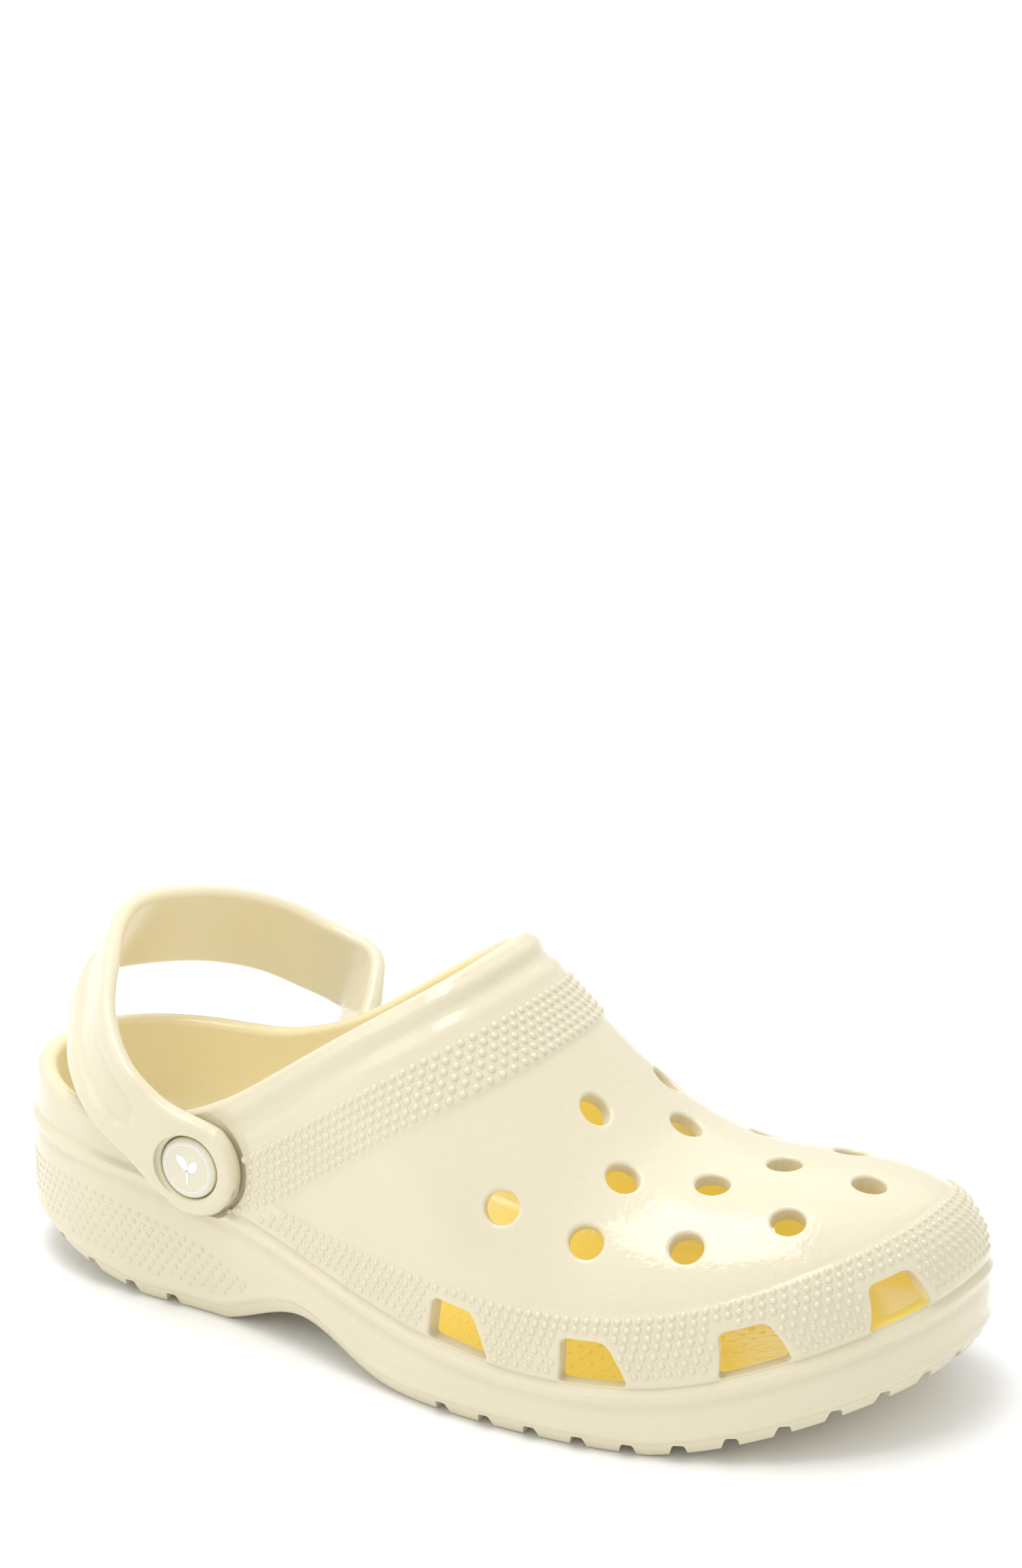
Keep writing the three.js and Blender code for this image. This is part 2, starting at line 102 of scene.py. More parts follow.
class ClogShellSizes(bpy.types.PropertyGroup):
    ledge: length("Ledge", "How far the sole's rounded edge stands out from the upper", 1.6)
    upper_wall: length("Upper wall", "Foam thickness of the upper", 4.2)
    heel_wall: length("Heel wall", "Foam thickness of the heel cup", 5.5)
    rim_round: length("Rim rounding", "Rise of the rounded top of the opening's edge", 2.2)
    band_raise: length("Band raise", "How far the studded bands stand over the vamp", 0.55)
    footbed_fillet: length("Footbed fillet", "Width of the hollow corner round the footbed", 6)
    vent: length("Vent", "Diameter of the round holes in the vamp", 9)
    vent_edge: length("Vent edge", "Rounding of a vent's edge", 1.1)
    port_bottom: length("Port bottom", "Lower width of a drainage port", 19)
    port_top: length("Port top", "Upper width of a drainage port", 12.5)
    port_height: length("Port height", "Height of a drainage port", 12.5)
    port_edge: length("Port edge", "Rounding of a port's outer edge", 0.9)
    tread_depth: length("Tread depth", "Height of the tread's lugs", 3.4)
    tread_pitch: length("Tread pitch", "Distance from one lug to the next", 13.6)
    mesh_columns: IntProperty(name="Mesh fineness", description="Columns of the shell's mesh", default=440)


class ClogStudSizes(bpy.types.PropertyGroup):
    radius: length("Stud radius", "Radius of a stud at its foot", 0.82)
    height: length("Stud height", "How far a stud stands out", 0.5)
    pitch: length("Stud pitch", "Distance from stud to stud along a row", 3.0)
    row_pitch: length("Row pitch", "Distance from one row of studs to the next", 2.45)


class ClogStrapSizes(bpy.types.PropertyGroup):
    arm_width: length("Arm width", "Width of the strap next to its ears", 22)
    back_width: length("Back width", "Width of the strap behind the ankle", 30)
    thickness: length("Thickness", "Thickness of the strap's arms", 4.6)
    edge_round: length("Edge rounding", "Rounding of the strap's edges", 2.1)
    channel_width: length("Channel width", "Width of the channel in the outer face", 10.5)
    channel_depth: length("Channel depth", "Depth of the channel", 1.3)


class ClogColours(bpy.types.PropertyGroup):
    foam: colour("Foam", "Pale butter yellow of the foam in the open", (0.745, 0.685, 0.505))
    # Painted light: this yellow is painted inside the shell and on the strap's inner face, and given off
    # there as light, for light scattered and bounced within the foam.
    painted_light_foam: colour("Deep foam", "Yellow of the foam where the shell catches light", (0.74, 0.585, 0.135))
    plastic: colour("Rivet plastic", "Cream of the rivets", (0.73, 0.69, 0.53))
    print: colour("Print", "White of the mark on the rivets", (0.86, 0.86, 0.83))
    floor: colour("Floor", "Floor and backdrop", (0.97, 0.97, 0.97))


# ---- Shape curves, by station along the clog: -1 at the heel, 1 at the toe; values in millimetres ----
def curve_through(knots):
    """Smooth curve through (station, value) knots: a natural cubic spline, straight beyond its ends."""
    x, y = np.array(knots, float).T
    h = np.diff(x)
    lhs = np.eye(len(x))
    rhs = np.zeros(len(x))
    for i in range(1, len(x) - 1):
        lhs[i, i - 1:i + 2] = h[i - 1], 2 * (h[i - 1] + h[i]), h[i]
        rhs[i] = 6 * ((y[i + 1] - y[i]) / h[i] - (y[i] - y[i - 1]) / h[i - 1])
    bend = np.linalg.solve(lhs, rhs)
    slope_before = (y[1] - y[0]) / h[0] - bend[1] * h[0] / 6
    slope_after = (y[-1] - y[-2]) / h[-1] + bend[-2] * h[-1] / 6

    def at(station):
        station = np.asarray(station, float)
        inside = np.clip(station, x[0], x[-1])
        i = np.clip(np.searchsorted(x, inside, side="right") - 1, 0, len(h) - 1)
        a = (x[i + 1] - inside) / h[i]
        b = 1 - a
        cubic = ((a**3 - a) * bend[i] + (b**3 - b) * bend[i + 1]) * h[i] ** 2 / 6
        straight = (station - inside) * np.where(station < inside, slope_before, slope_after)
        return a * y[i] + b * y[i + 1] + cubic + straight

    return at


def smooth_step(low, high, value):
    t = np.clip((np.asarray(value, float) - low) / (high - low), 0, 1)
    return t * t * (3 - 2 * t)


def smooth_profile(knots):
    """Curve that runs level through each (distance, height) knot and smoothly from one to the next."""
    x, y = np.array(knots, float).T

    def at(value):
        value = np.asarray(value, float)
        i = np.clip(np.searchsorted(x, value, side="right") - 1, 0, len(x) - 2)
        return y[i] + (y[i + 1] - y[i]) * smooth_step(x[i], x[i + 1], value)

    return at


axis_y = curve_through([(-1, -1.3), (-0.67, 0.7), (-0.29, -3.3), (0.07, -6.3), (0.43, 0.7), (1, 14.7)])
lateral_half = curve_through(
    [(-1, 34), (-0.67, 39), (-0.43, 37.5), (-0.14, 42), (0.14, 50), (0.38, 55), (1, 53)])
medial_half = curve_through(
    [(-1, 34), (-0.67, 39.5), (-0.43, 37.5), (-0.14, 41), (0.14, 45), (0.38, 51), (1, 51)])
ledge_z = curve_through([(-1, 41), (-0.67, 40), (-0.36, 32.5), (0, 23.5), (0.29, 18.5), (0.65, 22), (1, 39)])
ridge_z = curve_through(
    [(-1, 150), (-0.43, 140), (-0.14, 127), (0.04, 116), (0.22, 91), (0.43, 67), (0.65, 66.5), (1, 82)])
ground_curve = curve_through([(-1, 11), (-0.8, 5.5), (-0.62, 0), (-0.43, 0), (-0.23, 9.5), (-0.04, 2),
                              (0.14, 0), (0.43, -1.5), (0.69, 3), (1, 17)])
opening_z = curve_through(
    [(-1, 53), (-0.8, 50), (-0.67, 50), (-0.54, 55), (-0.43, 62.5), (-0.29, 76), (-0.11, 94), (0.04, 108)])
footbed_z = curve_through([(-1, 27), (-0.8, 24.5), (-0.58, 24), (-0.36, 24), (-0.14, 20.5), (0.07, 16),
                           (0.36, 13.5), (0.65, 16), (1, 29)])
band_height = curve_through([(-0.5, 8), (-0.25, 10), (0, 14.5), (0.3, 18), (0.7, 20), (1, 22)])
heel_stud_top = curve_through([(-1, 27.5), (-0.8, 29), (-0.64, 25.7), (-0.48, 20), (-0.37, 14)])

TOE_ROUND_FROM = 0.38
HEEL_ROUND_FROM = -0.67
TOE_ROUND_POWER = 2.35
HEEL_ROUND_POWER = 2.2
PLAN_POWER = 2.4
DOME_POWER = 2.1
OPENING_FOCUS = -0.33
COLLAR_ENDS_BEHIND = -0.46   # station where the collar's roll and studs fade out, under the strap's ears
SOLE_EDGE_INSET = 2.5
FOOTBED_DISH = 1.2    # how far the footbed sinks towards its middle
LEDGE_OVERHANG = 1.6    # how far the sole stands out past the plan curves
HALF = -CAD_BOX[0][0] / MM - LEDGE_OVERHANG

# Collar: outset by distance from the opening's edge. Rolled edge, hollow, second softer roll, stud band.
collar_profile = smooth_profile(
    [(0, 0.9), (2.2, 1.3), (6.4, 0.0), (10.6, 0.8), (13.5, 0.55), (28.4, 0.55), (30.2, 0), (99, 0)])

VENTS = [(0.25, -0.84), (0.315, -0.235), (0.32, 0.47), (0.41, -0.77), (0.415, -0.45), (0.42, 0.14),
         (0.51, 0.5), (0.555, -0.28), (0.585, -0.67), (0.635, 0.02), (0.7, 0.37), (0.735, -0.45),
         (0.81, -0.03)]    # station, and share of the half width
PORT_LEAN = 2.0     # how far a port's heel-side edge leans, from bottom to top
PORT_SLANT = 4.6    # how far its toe-side edge slants
PORT_TURNS = (-144, -104.5, -62, -22.5, 31, 72, 113)   # millimetres along the ledge from the toe's tip


def sole_z(station):
    return np.maximum(0, ground_curve(station))


def end_rounding(station):
    """Share of the plan used up by the rounding of heel and toe: 0 amidships, 1 at the tips."""
    toe = np.maximum(0, (station - TOE_ROUND_FROM) / (1 - TOE_ROUND_FROM))
    heel = np.maximum(0, (HEEL_ROUND_FROM - station) / (1 + HEEL_ROUND_FROM))
    return toe**TOE_ROUND_POWER + heel**HEEL_ROUND_POWER


def half_width(station, share):
    return np.where(np.asarray(share) < 0, lateral_half(station), medial_half(station))


def dome_point(station, share):
    """Points of the upper's dome at stations and shares of the half width, -1 lateral to 1 medial."""
    station, share = np.broadcast_arrays(np.asarray(station, float), np.asarray(share, float))
    reach = end_rounding(station) + np.abs(share) ** PLAN_POWER
    rise = np.maximum(0, 1 - reach) ** (1 / DOME_POWER)
    z = ledge_z(station) + (ridge_z(station) - ledge_z(station)) * rise
    return np.stack([station * HALF, axis_y(station) + share * half_width(station, share), z], axis=-1)


def run_along(chain):
    """Length run at each point of a chain."""
    return np.concatenate([[0], np.cumsum(np.linalg.norm(np.diff(chain, axis=0), axis=1))])


def points_at(want, run, chain):
    """Points of a chain at wanted lengths along it."""
    return np.stack([np.interp(want, run, chain[:, k]) for k in range(3)], axis=-1)


def spread_evenly(points, count, closed=False):
    """Points spread evenly along a chain of points."""
    chain = np.vstack([points, points[:1]]) if closed else points
    run = run_along(chain)
    want = np.linspace(0, run[-1], count + 1)[:-1] if closed else np.linspace(0, run[-1], count)
    return points_at(want, run, chain)


def unit(v):
    return v / np.maximum(np.linalg.norm(v, axis=-1, keepdims=True), 1e-9)


def cross_section_normals(grid):
    """Outward normals of a grid of points [column, row, 3] that is closed round its columns."""
    along = np.roll(grid, -1, axis=0) - np.roll(grid, 1, axis=0)
    up = np.gradient(grid, axis=1)
    return unit(np.cross(along, up))


class Skin:
    """The upper's outer face as a grid of points, from the sole's ledge up to the opening's edge."""

    LOW_ROWS, MIDDLE_ROWS, HIGH_ROWS = 28, 22, 44
    LOW_REACH, HIGH_REACH = 25, 32    # millimetres of a strip with close rows, at the ledge and at the edge

    def __init__(self, columns):
        s = -np.cos(np.linspace(0, math.pi, 1201))
        spread = np.maximum(0, 1 - end_rounding(s)) ** (1 / PLAN_POWER)
        lateral = np.stack([s * HALF, axis_y(s) - lateral_half(s) * spread, 0 * s], axis=-1)
        medial = np.stack([s * HALF, axis_y(s) + medial_half(s) * spread, 0 * s], axis=-1)
        self.columns = columns
        self.outline = spread_evenly(np.vstack([lateral, medial[-2:0:-1]]), columns, closed=True)
        self.station = self.outline[:, 0] / HALF
        self.spacing = np.linalg.norm(self.outline[1] - self.outline[0])
        off = self.outline[:, 1] - axis_y(self.station)
        self.share = off / half_width(self.station, off)
        along = unit(np.roll(self.outline, -1, axis=0) - np.roll(self.outline, 1, axis=0))
        self.inward = np.stack([-along[:, 1], along[:, 0], 0 * along[:, 0]], axis=-1)
        self.build_strips()
        self.normals = cross_section_normals(self.base)
        self.normals[:, 0] = unit(self.normals[:, 1] * np.array([1, 1, 0.3]))
        self.measure_from_edge()
        self.points = self.base + self.normals * self.outset()[..., None]

    def strip_point(self, part):
        """Points of the strips at parts of their way from the ledge to the opening's focus."""
        station = self.station[:, None] * (1 - part) + OPENING_FOCUS * part
        return dome_point(station, self.share[:, None] * (1 - part))

    def build_strips(self):
        """Straight strips in plan towards the opening, each ended where it meets the opening's edge."""
        coarse = np.linspace(0, 1, 201)[None, :]
        trial = self.strip_point(np.repeat(coarse, self.columns, axis=0))
        above = trial[..., 2] >= opening_z(trial[..., 0] / HALF)
        first = np.maximum(1, above.argmax(axis=1))
        low, high = coarse[0, first - 1], coarse[0, first]
        for _ in range(26):
            middle = (low + high) / 2
            p = self.strip_point(middle[:, None])[:, 0]
            under = p[:, 2] < opening_z(p[:, 0] / HALF)
            low, high = np.where(under, middle, low), np.where(under, high, middle)
        fine = np.linspace(0, 1, 500) ** 3
        chains = self.strip_point(low[:, None] * fine[None, :])
        chains[:, 0, 2] = ledge_z(self.station)
        rows = self.LOW_ROWS + self.MIDDLE_ROWS + self.HIGH_ROWS
        self.base = np.zeros((self.columns, rows, 3))
        self.from_ledge = np.zeros((self.columns, rows))
        for i, chain in enumerate(chains):
            run = run_along(chain)
            lower = min(self.LOW_REACH, 0.36 * run[-1])
            upper = run[-1] - min(self.HIGH_REACH, 0.42 * run[-1])
            want = np.concatenate([
                np.linspace(0, lower, self.LOW_ROWS, endpoint=False),
                np.linspace(lower, upper, self.MIDDLE_ROWS, endpoint=False),
                np.linspace(upper, run[-1], self.HIGH_ROWS)])
            self.from_ledge[i] = want
            self.base[i] = points_at(want, run, chain)

    def measure_from_edge(self):
        """Distance of each point from the opening's edge, and the nearest place along that edge."""
        edge = self.base[:, -1]
        ahead = np.roll(edge, -1, axis=0) - edge
        steps = np.linalg.norm(ahead, axis=1)
        run = np.concatenate([[0], np.cumsum(steps)[:-1]])
        self.edge_length = steps.sum()
        flat = self.base.reshape(-1, 3)
        best = np.full(len(flat), 1e9)
        place = np.zeros(len(flat))
        for k in range(self.columns):
            off = flat - edge[k]
            t = np.clip(off @ ahead[k] / steps[k] ** 2, 0, 1)
            distance = np.linalg.norm(off - t[:, None] * ahead[k], axis=1)
            nearer = distance < best
            best[nearer] = distance[nearer]
            place[nearer] = (run[k] + t * steps[k])[nearer]
        self.from_edge = best.reshape(self.base.shape[:2])
        self.edge_place = place.reshape(self.base.shape[:2])

    def collar_share(self):
        """1 where the collar has its roll and studs, fading to 0 behind the ears."""
        station = self.base[..., 0] / HALF
        return smooth_step(COLLAR_ENDS_BEHIND - 0.06, COLLAR_ENDS_BEHIND + 0.06, station)

    def outset(self):
        """How far each point stands out from the plain dome: collar roll and raised stud bands."""
        sizes = bpy.context.scene.clog_shell
        station = self.base[..., 0] / HALF
        raise_by = sizes.band_raise / MM
        top = band_height(station)
        band = raise_by * (1 - smooth_step(top - 0.5, top + 1.1, self.from_ledge))
        band *= smooth_step(0, 1.2, self.from_ledge) * smooth_step(-0.5, -0.42, station)
        pivot = rivet_axis()
        from_rivet = np.hypot(self.base[..., 0] - pivot[0], self.base[..., 2] - pivot[2])
        clear_of_ear = smooth_step(EAR_RADIUS + 0.5, EAR_RADIUS + 7, from_rivet)
        return np.maximum(band, collar_profile(self.from_edge) * self.collar_share()) * clear_of_ear

    def outline_at(self, place):
        """Point of the plan outline at a place along it (in columns), and the inward direction there."""
        i = int(place) % self.columns
        t = place - int(place)
        j = (i + 1) % self.columns
        point = self.outline[i] * (1 - t) + self.outline[j] * t
        return point, unit(self.inward[i] * (1 - t) + self.inward[j] * t)

    def at(self, place, height_run):
        """Point and normal at a place along the outline (in columns) and a run up from the ledge."""
        i = int(math.floor(place)) % self.columns
        t = place - math.floor(place)
        result = []
        for grid in (self.points, self.normals):
            ends = [np.array([np.interp(height_run, self.from_ledge[c], grid[c, :, k]) for k in range(3)])
                    for c in (i, (i + 1) % self.columns)]
            result.append(ends[0] * (1 - t) + ends[1] * t)
        return result[0], unit(result[1])


# ---- Mesh helpers ----
def deselect():
    bpy.ops.object.select_all(action="DESELECT")


def select_only(piece):
    deselect()
    piece.select_set(True)
    bpy.context.view_layer.objects.active = piece


def mesh_piece(name, points, faces):
    """Object from millimetre points and faces."""
    mesh = bpy.data.meshes.new(name)
    mesh.from_pydata((np.asarray(points, float) * MM).tolist(), [], faces)
    mesh.validate()
    piece = bpy.data.objects.new(name, mesh)
    bpy.context.scene.collection.objects.link(piece)
    return piece


def face_outwards(piece):
    select_only(piece)
    bpy.ops.object.mode_set(mode="EDIT")
    bpy.ops.mesh.select_all(action="SELECT")
    bpy.ops.mesh.normals_make_consistent(inside=False)
    bpy.ops.object.mode_set(mode="OBJECT")


def ring_faces(rings, count):
    """Quads between neighbouring rings of points."""
    i = np.arange(count)
    after = (i + 1) % count
    faces = []
    for j in range(rings - 1):
        base = j * count
        faces += np.stack([base + i, base + after, base + count + after, base + count + i], axis=1).tolist()
    return faces


def tube_faces(rings, count):
    """Faces of a closed tube with a flat face at each end."""
    last = (rings - 1) * count
    ends = [tuple(range(count - 1, -1, -1)), tuple(range(last, last + count))]
    return ring_faces(rings, count) + ends


def zip_across(count, start):
    """Faces that close a ring by joining its first half to its second, straight across."""
    faces = [(start, start + 1, start + count - 1)]
    for i in range(1, count // 2 - 1):
        faces.append((start + i, start + i + 1, start + count - i - 1, start + count - i))
    middle = start + count // 2
    faces.append((middle - 1, middle, middle + 1))
    return faces


def cut(piece, cutter):
    """Takes the cutter's solid out of the piece."""
    face_outwards(cutter)
    select_only(piece)
    modifier = piece.modifiers.new("cut", "BOOLEAN")
    modifier.operation = "DIFFERENCE"
    modifier.solver = "MANIFOLD"
    modifier.object = cutter
    bpy.ops.object.modifier_apply(modifier=modifier.name)
    bpy.data.objects.remove(cutter)


def join(pieces):
    deselect()
    for piece in pieces:
        piece.select_set(True)
    bpy.context.view_layer.objects.active = pieces[0]
    bpy.ops.object.join()
    return pieces[0]


def smooth_finish(piece, angle=40):
    """Smooth shading that keeps real corners, weighted by face area so that cuts leave no ripples."""
    select_only(piece)
    bpy.ops.object.shade_smooth_by_angle(angle=math.radians(angle))
    modifier = piece.modifiers.new("weighted_normals", "WEIGHTED_NORMAL")
    modifier.keep_sharp = True
    modifier.weight = 60
    bpy.ops.object.modifier_apply(modifier=modifier.name)


def circles_about_rivet(side, profile, sides):
    """Circles on the rivet's axis; the profile is (radius, distance from the middle plane)."""
    pivot = rivet_axis()
    angles = np.linspace(0, 2 * math.pi, sides, endpoint=False)
    return [np.stack([pivot[0] + radius * np.cos(angles), np.full(sides, side * reach),
                      pivot[2] + radius * np.sin(angles)], axis=-1) for radius, reach in profile]


def ring_about_rivet(name, side, section, sides=72):
    """Ring on the rivet's axis, from its closed section."""
    rings = circles_about_rivet(side, section, sides)
    faces = ring_faces(len(rings), sides)
    last = (len(rings) - 1) * sides
    faces += [(last + k, last + (k + 1) % sides, (k + 1) % sides, k) for k in range(sides)]
    piece = mesh_piece(name, np.concatenate(rings), faces)
    face_outwards(piece)
    return piece


def turned_about_rivet(name, side, profile, sides=96):
    """Closed turned solid on the rivet's axis."""
    rings = circles_about_rivet(side, profile, sides)
    faces = ring_faces(len(rings), sides)
    last = (len(rings) - 1) * sides
    faces += [tuple(range(sides)), tuple(range(last + sides - 1, last - 1, -1))]
    piece = mesh_piece(name, np.concatenate(rings), faces)
    face_outwards(piece)
    return piece


def rivet_axis():
    """A point of the strap's hinge axis, in millimetres."""
    return np.array(frame["joints"][0]["pos_m"]) / MM


def rivet_face(side):
    """Distances from the middle plane of the rivet's crown and inner tip."""
    low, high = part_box("rivet_button_" + ("lateral" if side < 0 else "medial"))
    reaches = sorted((abs(low[1]), abs(high[1])))
    return reaches[1] / MM, reaches[0] / MM


# ---- Materials ----
def new_group(name, inputs, outputs):
    """Empty node group with its inputs (label, kind, value) and outputs (label, kind)."""
    tree = bpy.data.node_groups.new(name, "ShaderNodeTree")
    for label, kind, value in inputs:
        socket = tree.interface.new_socket(name=label, in_out="INPUT", socket_type=kind)
        socket.default_value = value
    for label, kind in outputs:
        tree.interface.new_socket(name=label, in_out="OUTPUT", socket_type=kind)
    return tree, tree.nodes.new("NodeGroupInput"), tree.nodes.new("NodeGroupOutput")


def node(tree, kind, links=(), **values):
    """New node with its settings and input values; links are (input name, output socket)."""
    made = tree.nodes.new(kind)
    for key, value in values.items():
        setattr(made, key, value)
    for label, source in links:
        socket = made.inputs[label]
        if isinstance(source, bpy.types.NodeSocket):
            tree.links.new(source, socket)
        else:
            socket.default_value = source
    return made


def peel_group():
    """Moulded skin: the slight orange peel of glossy foam, and a fine grain on top."""
    tree, inputs, outputs = new_group(
        "moulded_skin",
        [("Peel Size", "NodeSocketFloat", 300.0), ("Peel Height", "NodeSocketFloat", 0.1),
         ("Grain Height", "NodeSocketFloat", 0.05)],
        [("Normal", "NodeSocketVector")])
    place = node(tree, "ShaderNodeTexCoord")
    peel = node(tree, "ShaderNodeTexNoise",
                [("Vector", place.outputs["Object"]), ("Scale", inputs.outputs["Peel Size"]),
                  ("Detail", 2.0)])
    grain = node(tree, "ShaderNodeTexNoise",
                 [("Vector", place.outputs["Object"]), ("Scale", 2600.0), ("Detail", 1.0)])
    peel_bump = node(tree, "ShaderNodeBump", [("Strength", inputs.outputs["Peel Height"]),
                                              ("Distance", MM), ("Height", peel.outputs["Fac"])])
    grain_bump = node(tree, "ShaderNodeBump",
                      [("Strength", inputs.outputs["Grain Height"]), ("Distance", 0.2 * MM),
                       ("Height", grain.outputs["Fac"]), ("Normal", peel_bump.outputs["Normal"])])
    tree.links.new(grain_bump.outputs["Normal"], outputs.inputs["Normal"])
    return tree


def foam_colour_group():
    """The foam's colour, with soft mottling, specks from the mould and painted light: a deeper, glowing
    yellow inside the shell.
    """
    tree, inputs, outputs = new_group(
        "foam_colour",
        [("Open", "NodeSocketColor", (1, 1, 1, 1)), ("Painted Light", "NodeSocketColor", (1, 1, 0, 1)),
         ("Depth", "NodeSocketFloat", 0.0)],
        [("Color", "NodeSocketColor"), ("Painted Glow", "NodeSocketColor"), ("Roughness Mask", "NodeSocketFloat")])
    place = node(tree, "ShaderNodeTexCoord")
    mottle = node(tree, "ShaderNodeTexNoise",
                  [("Vector", place.outputs["Object"]), ("Scale", 28.0), ("Detail", 4.0)])
    spread = node(tree, "ShaderNodeMapRange", [("Value", mottle.outputs["Fac"]), ("From Min", 0.3),
                                               ("From Max", 0.7), ("To Min", 0.965), ("To Max", 1.0)])
    specks = node(tree, "ShaderNodeTexVoronoi", [("Vector", place.outputs["Object"]), ("Scale", 95.0)])
    dark = node(tree, "ShaderNodeMapRange", [("Value", specks.outputs["Distance"]), ("From Min", 0.018),
                                             ("From Max", 0.03), ("To Min", 0.86), ("To Max", 1.0)])
    mix = node(tree, "ShaderNodeMix", data_type="RGBA")
    # Painted light: the more painted light a face gets, the more its colour turns to the painted yellow.
    squared = node(tree, "ShaderNodeMath", [(0, inputs.outputs["Depth"]), (1, 2.0)], operation="POWER")
    tree.links.new(squared.outputs[0], mix.inputs["Factor"])
    tree.links.new(inputs.outputs["Open"], mix.inputs[6])
    tree.links.new(inputs.outputs["Painted Light"], mix.inputs[7])
    shade = node(tree, "ShaderNodeMath", [(0, spread.outputs[0]), (1, dark.outputs[0])], operation="MULTIPLY")
    tint = node(tree, "ShaderNodeVectorMath", [(0, mix.outputs[2])], operation="SCALE")
    tree.links.new(shade.outputs[0], tint.inputs["Scale"])
    tree.links.new(tint.outputs[0], outputs.inputs["Color"])
    # Painted light: the colour, scaled by the share of painted light, is sent out as light though the foam is
    # no lamp.
    painted_glow = node(tree, "ShaderNodeVectorMath", [(0, tint.outputs[0])], operation="SCALE")
    tree.links.new(inputs.outputs["Depth"], painted_glow.inputs["Scale"])
    tree.links.new(painted_glow.outputs[0], outputs.inputs["Painted Glow"])
    tree.links.new(mottle.outputs["Fac"], outputs.inputs["Roughness Mask"])
    return tree


def foam_material(name, open_colour, painted_light_colour, low_gloss, high_gloss, peel_size, peel_height):
    """Moulded glossy foam; the mesh's `depth` attribute, higher the deeper inside the shell a face lies, sets
    its painted light: a deeper, glowing yellow.
    """
    material = bpy.data.materials.new(name)
    material.use_nodes = True
    tree = material.node_tree
    shader = tree.nodes["Principled BSDF"]
    # The depth attribute holds each face's share of painted light.
    depth = node(tree, "ShaderNodeAttribute", attribute_name="depth")
    foam = node(tree, "ShaderNodeGroup", node_tree=bpy.data.node_groups["foam_colour"])
    foam.inputs["Open"].default_value = (*open_colour, 1)
    foam.inputs["Painted Light"].default_value = (*painted_light_colour, 1)
    tree.links.new(depth.outputs["Fac"], foam.inputs["Depth"])
    tree.links.new(foam.outputs["Color"], shader.inputs["Base Color"])
    gloss = node(tree, "ShaderNodeMapRange",
                 [("Value", foam.outputs["Roughness Mask"]), ("From Min", 0.3), ("From Max", 0.7),
                  ("To Min", low_gloss), ("To Max", high_gloss)])
    tree.links.new(gloss.outputs[0], shader.inputs["Roughness"])
    skin = node(tree, "ShaderNodeGroup", node_tree=bpy.data.node_groups["moulded_skin"])
    skin.inputs["Peel Size"].default_value = peel_size
    skin.inputs["Peel Height"].default_value = peel_height
    tree.links.new(skin.outputs["Normal"], shader.inputs["Normal"])
    shader.inputs["IOR"].default_value = 1.5
    # Painted light: the foam gives off its painted inner yellow as light, at a set strength.
    tree.links.new(foam.outputs["Painted Glow"], shader.inputs["Emission Color"])
    shader.inputs["Emission Strength"].default_value = 0.36
    shader.inputs["Subsurface Weight"].default_value = 0.12
    shader.inputs["Subsurface Radius"].default_value = (1.0, 0.75, 0.35)
    shader.inputs["Subsurface Scale"].default_value = 3 * MM
    return material


def plain_material(name, tint, roughness, mottle=0.03, scale=160):
    """Moulded plastic, print or floor: one colour with slight mottling in tone and gloss."""
    material = bpy.data.materials.new(name)
    material.use_nodes = True
    tree = material.node_tree
    shader = tree.nodes["Principled BSDF"]
    place = node(tree, "ShaderNodeTexCoord")
    noise = node(tree, "ShaderNodeTexNoise",
                 [("Vector", place.outputs["Object"]), ("Scale", scale), ("Detail", 3.0)])
    tone = node(tree, "ShaderNodeMapRange",
                [("Value", noise.outputs["Fac"]), ("To Min", 1 - mottle), ("To Max", 1 + mottle)])
    tint_node = node(tree, "ShaderNodeVectorMath", [(0, tint)], operation="SCALE")
    tree.links.new(tone.outputs[0], tint_node.inputs["Scale"])
    tree.links.new(tint_node.outputs[0], shader.inputs["Base Color"])
    gloss = node(tree, "ShaderNodeMapRange",
                 [("Value", noise.outputs["Fac"]), ("To Min", roughness * 0.85),
                   ("To Max", roughness * 1.15)])
    tree.links.new(gloss.outputs[0], shader.inputs["Roughness"])
    return material


def material_named(name):
    """Each finish is made once, the first time a piece needs it."""
    if name in bpy.data.materials and bpy.data.materials[name].get("made_here"):
        return bpy.data.materials[name]
    if "moulded_skin" not in bpy.data.node_groups:
        peel_group()
        foam_colour_group()
    c = bpy.context.scene.clog_colours
    makers = {
        # Both foams take the painted yellow, given off as light too, where their faces carry painted light.
        "glossy_shell_foam": lambda n: foam_material(n, c.foam, c.painted_light_foam, 0.09, 0.17, 420, 0.16),
        "glossy_strap_foam": lambda n: foam_material(n, c.foam, c.painted_light_foam, 0.14, 0.24, 420, 0.05),
        "cream_rivet_plastic": lambda n: plain_material(n, c.plastic, 0.3),
        "white_print": lambda n: plain_material(n, c.print, 0.45, 0.01),
        "pale_floor": lambda n: plain_material(n, c.floor, 0.6, 0.003, 3),
    }
    material = makers[name](name)
    material["made_here"] = True
    return material


def paint(piece, name):
    piece.data.materials.clear()
    piece.data.materials.append(material_named(name))


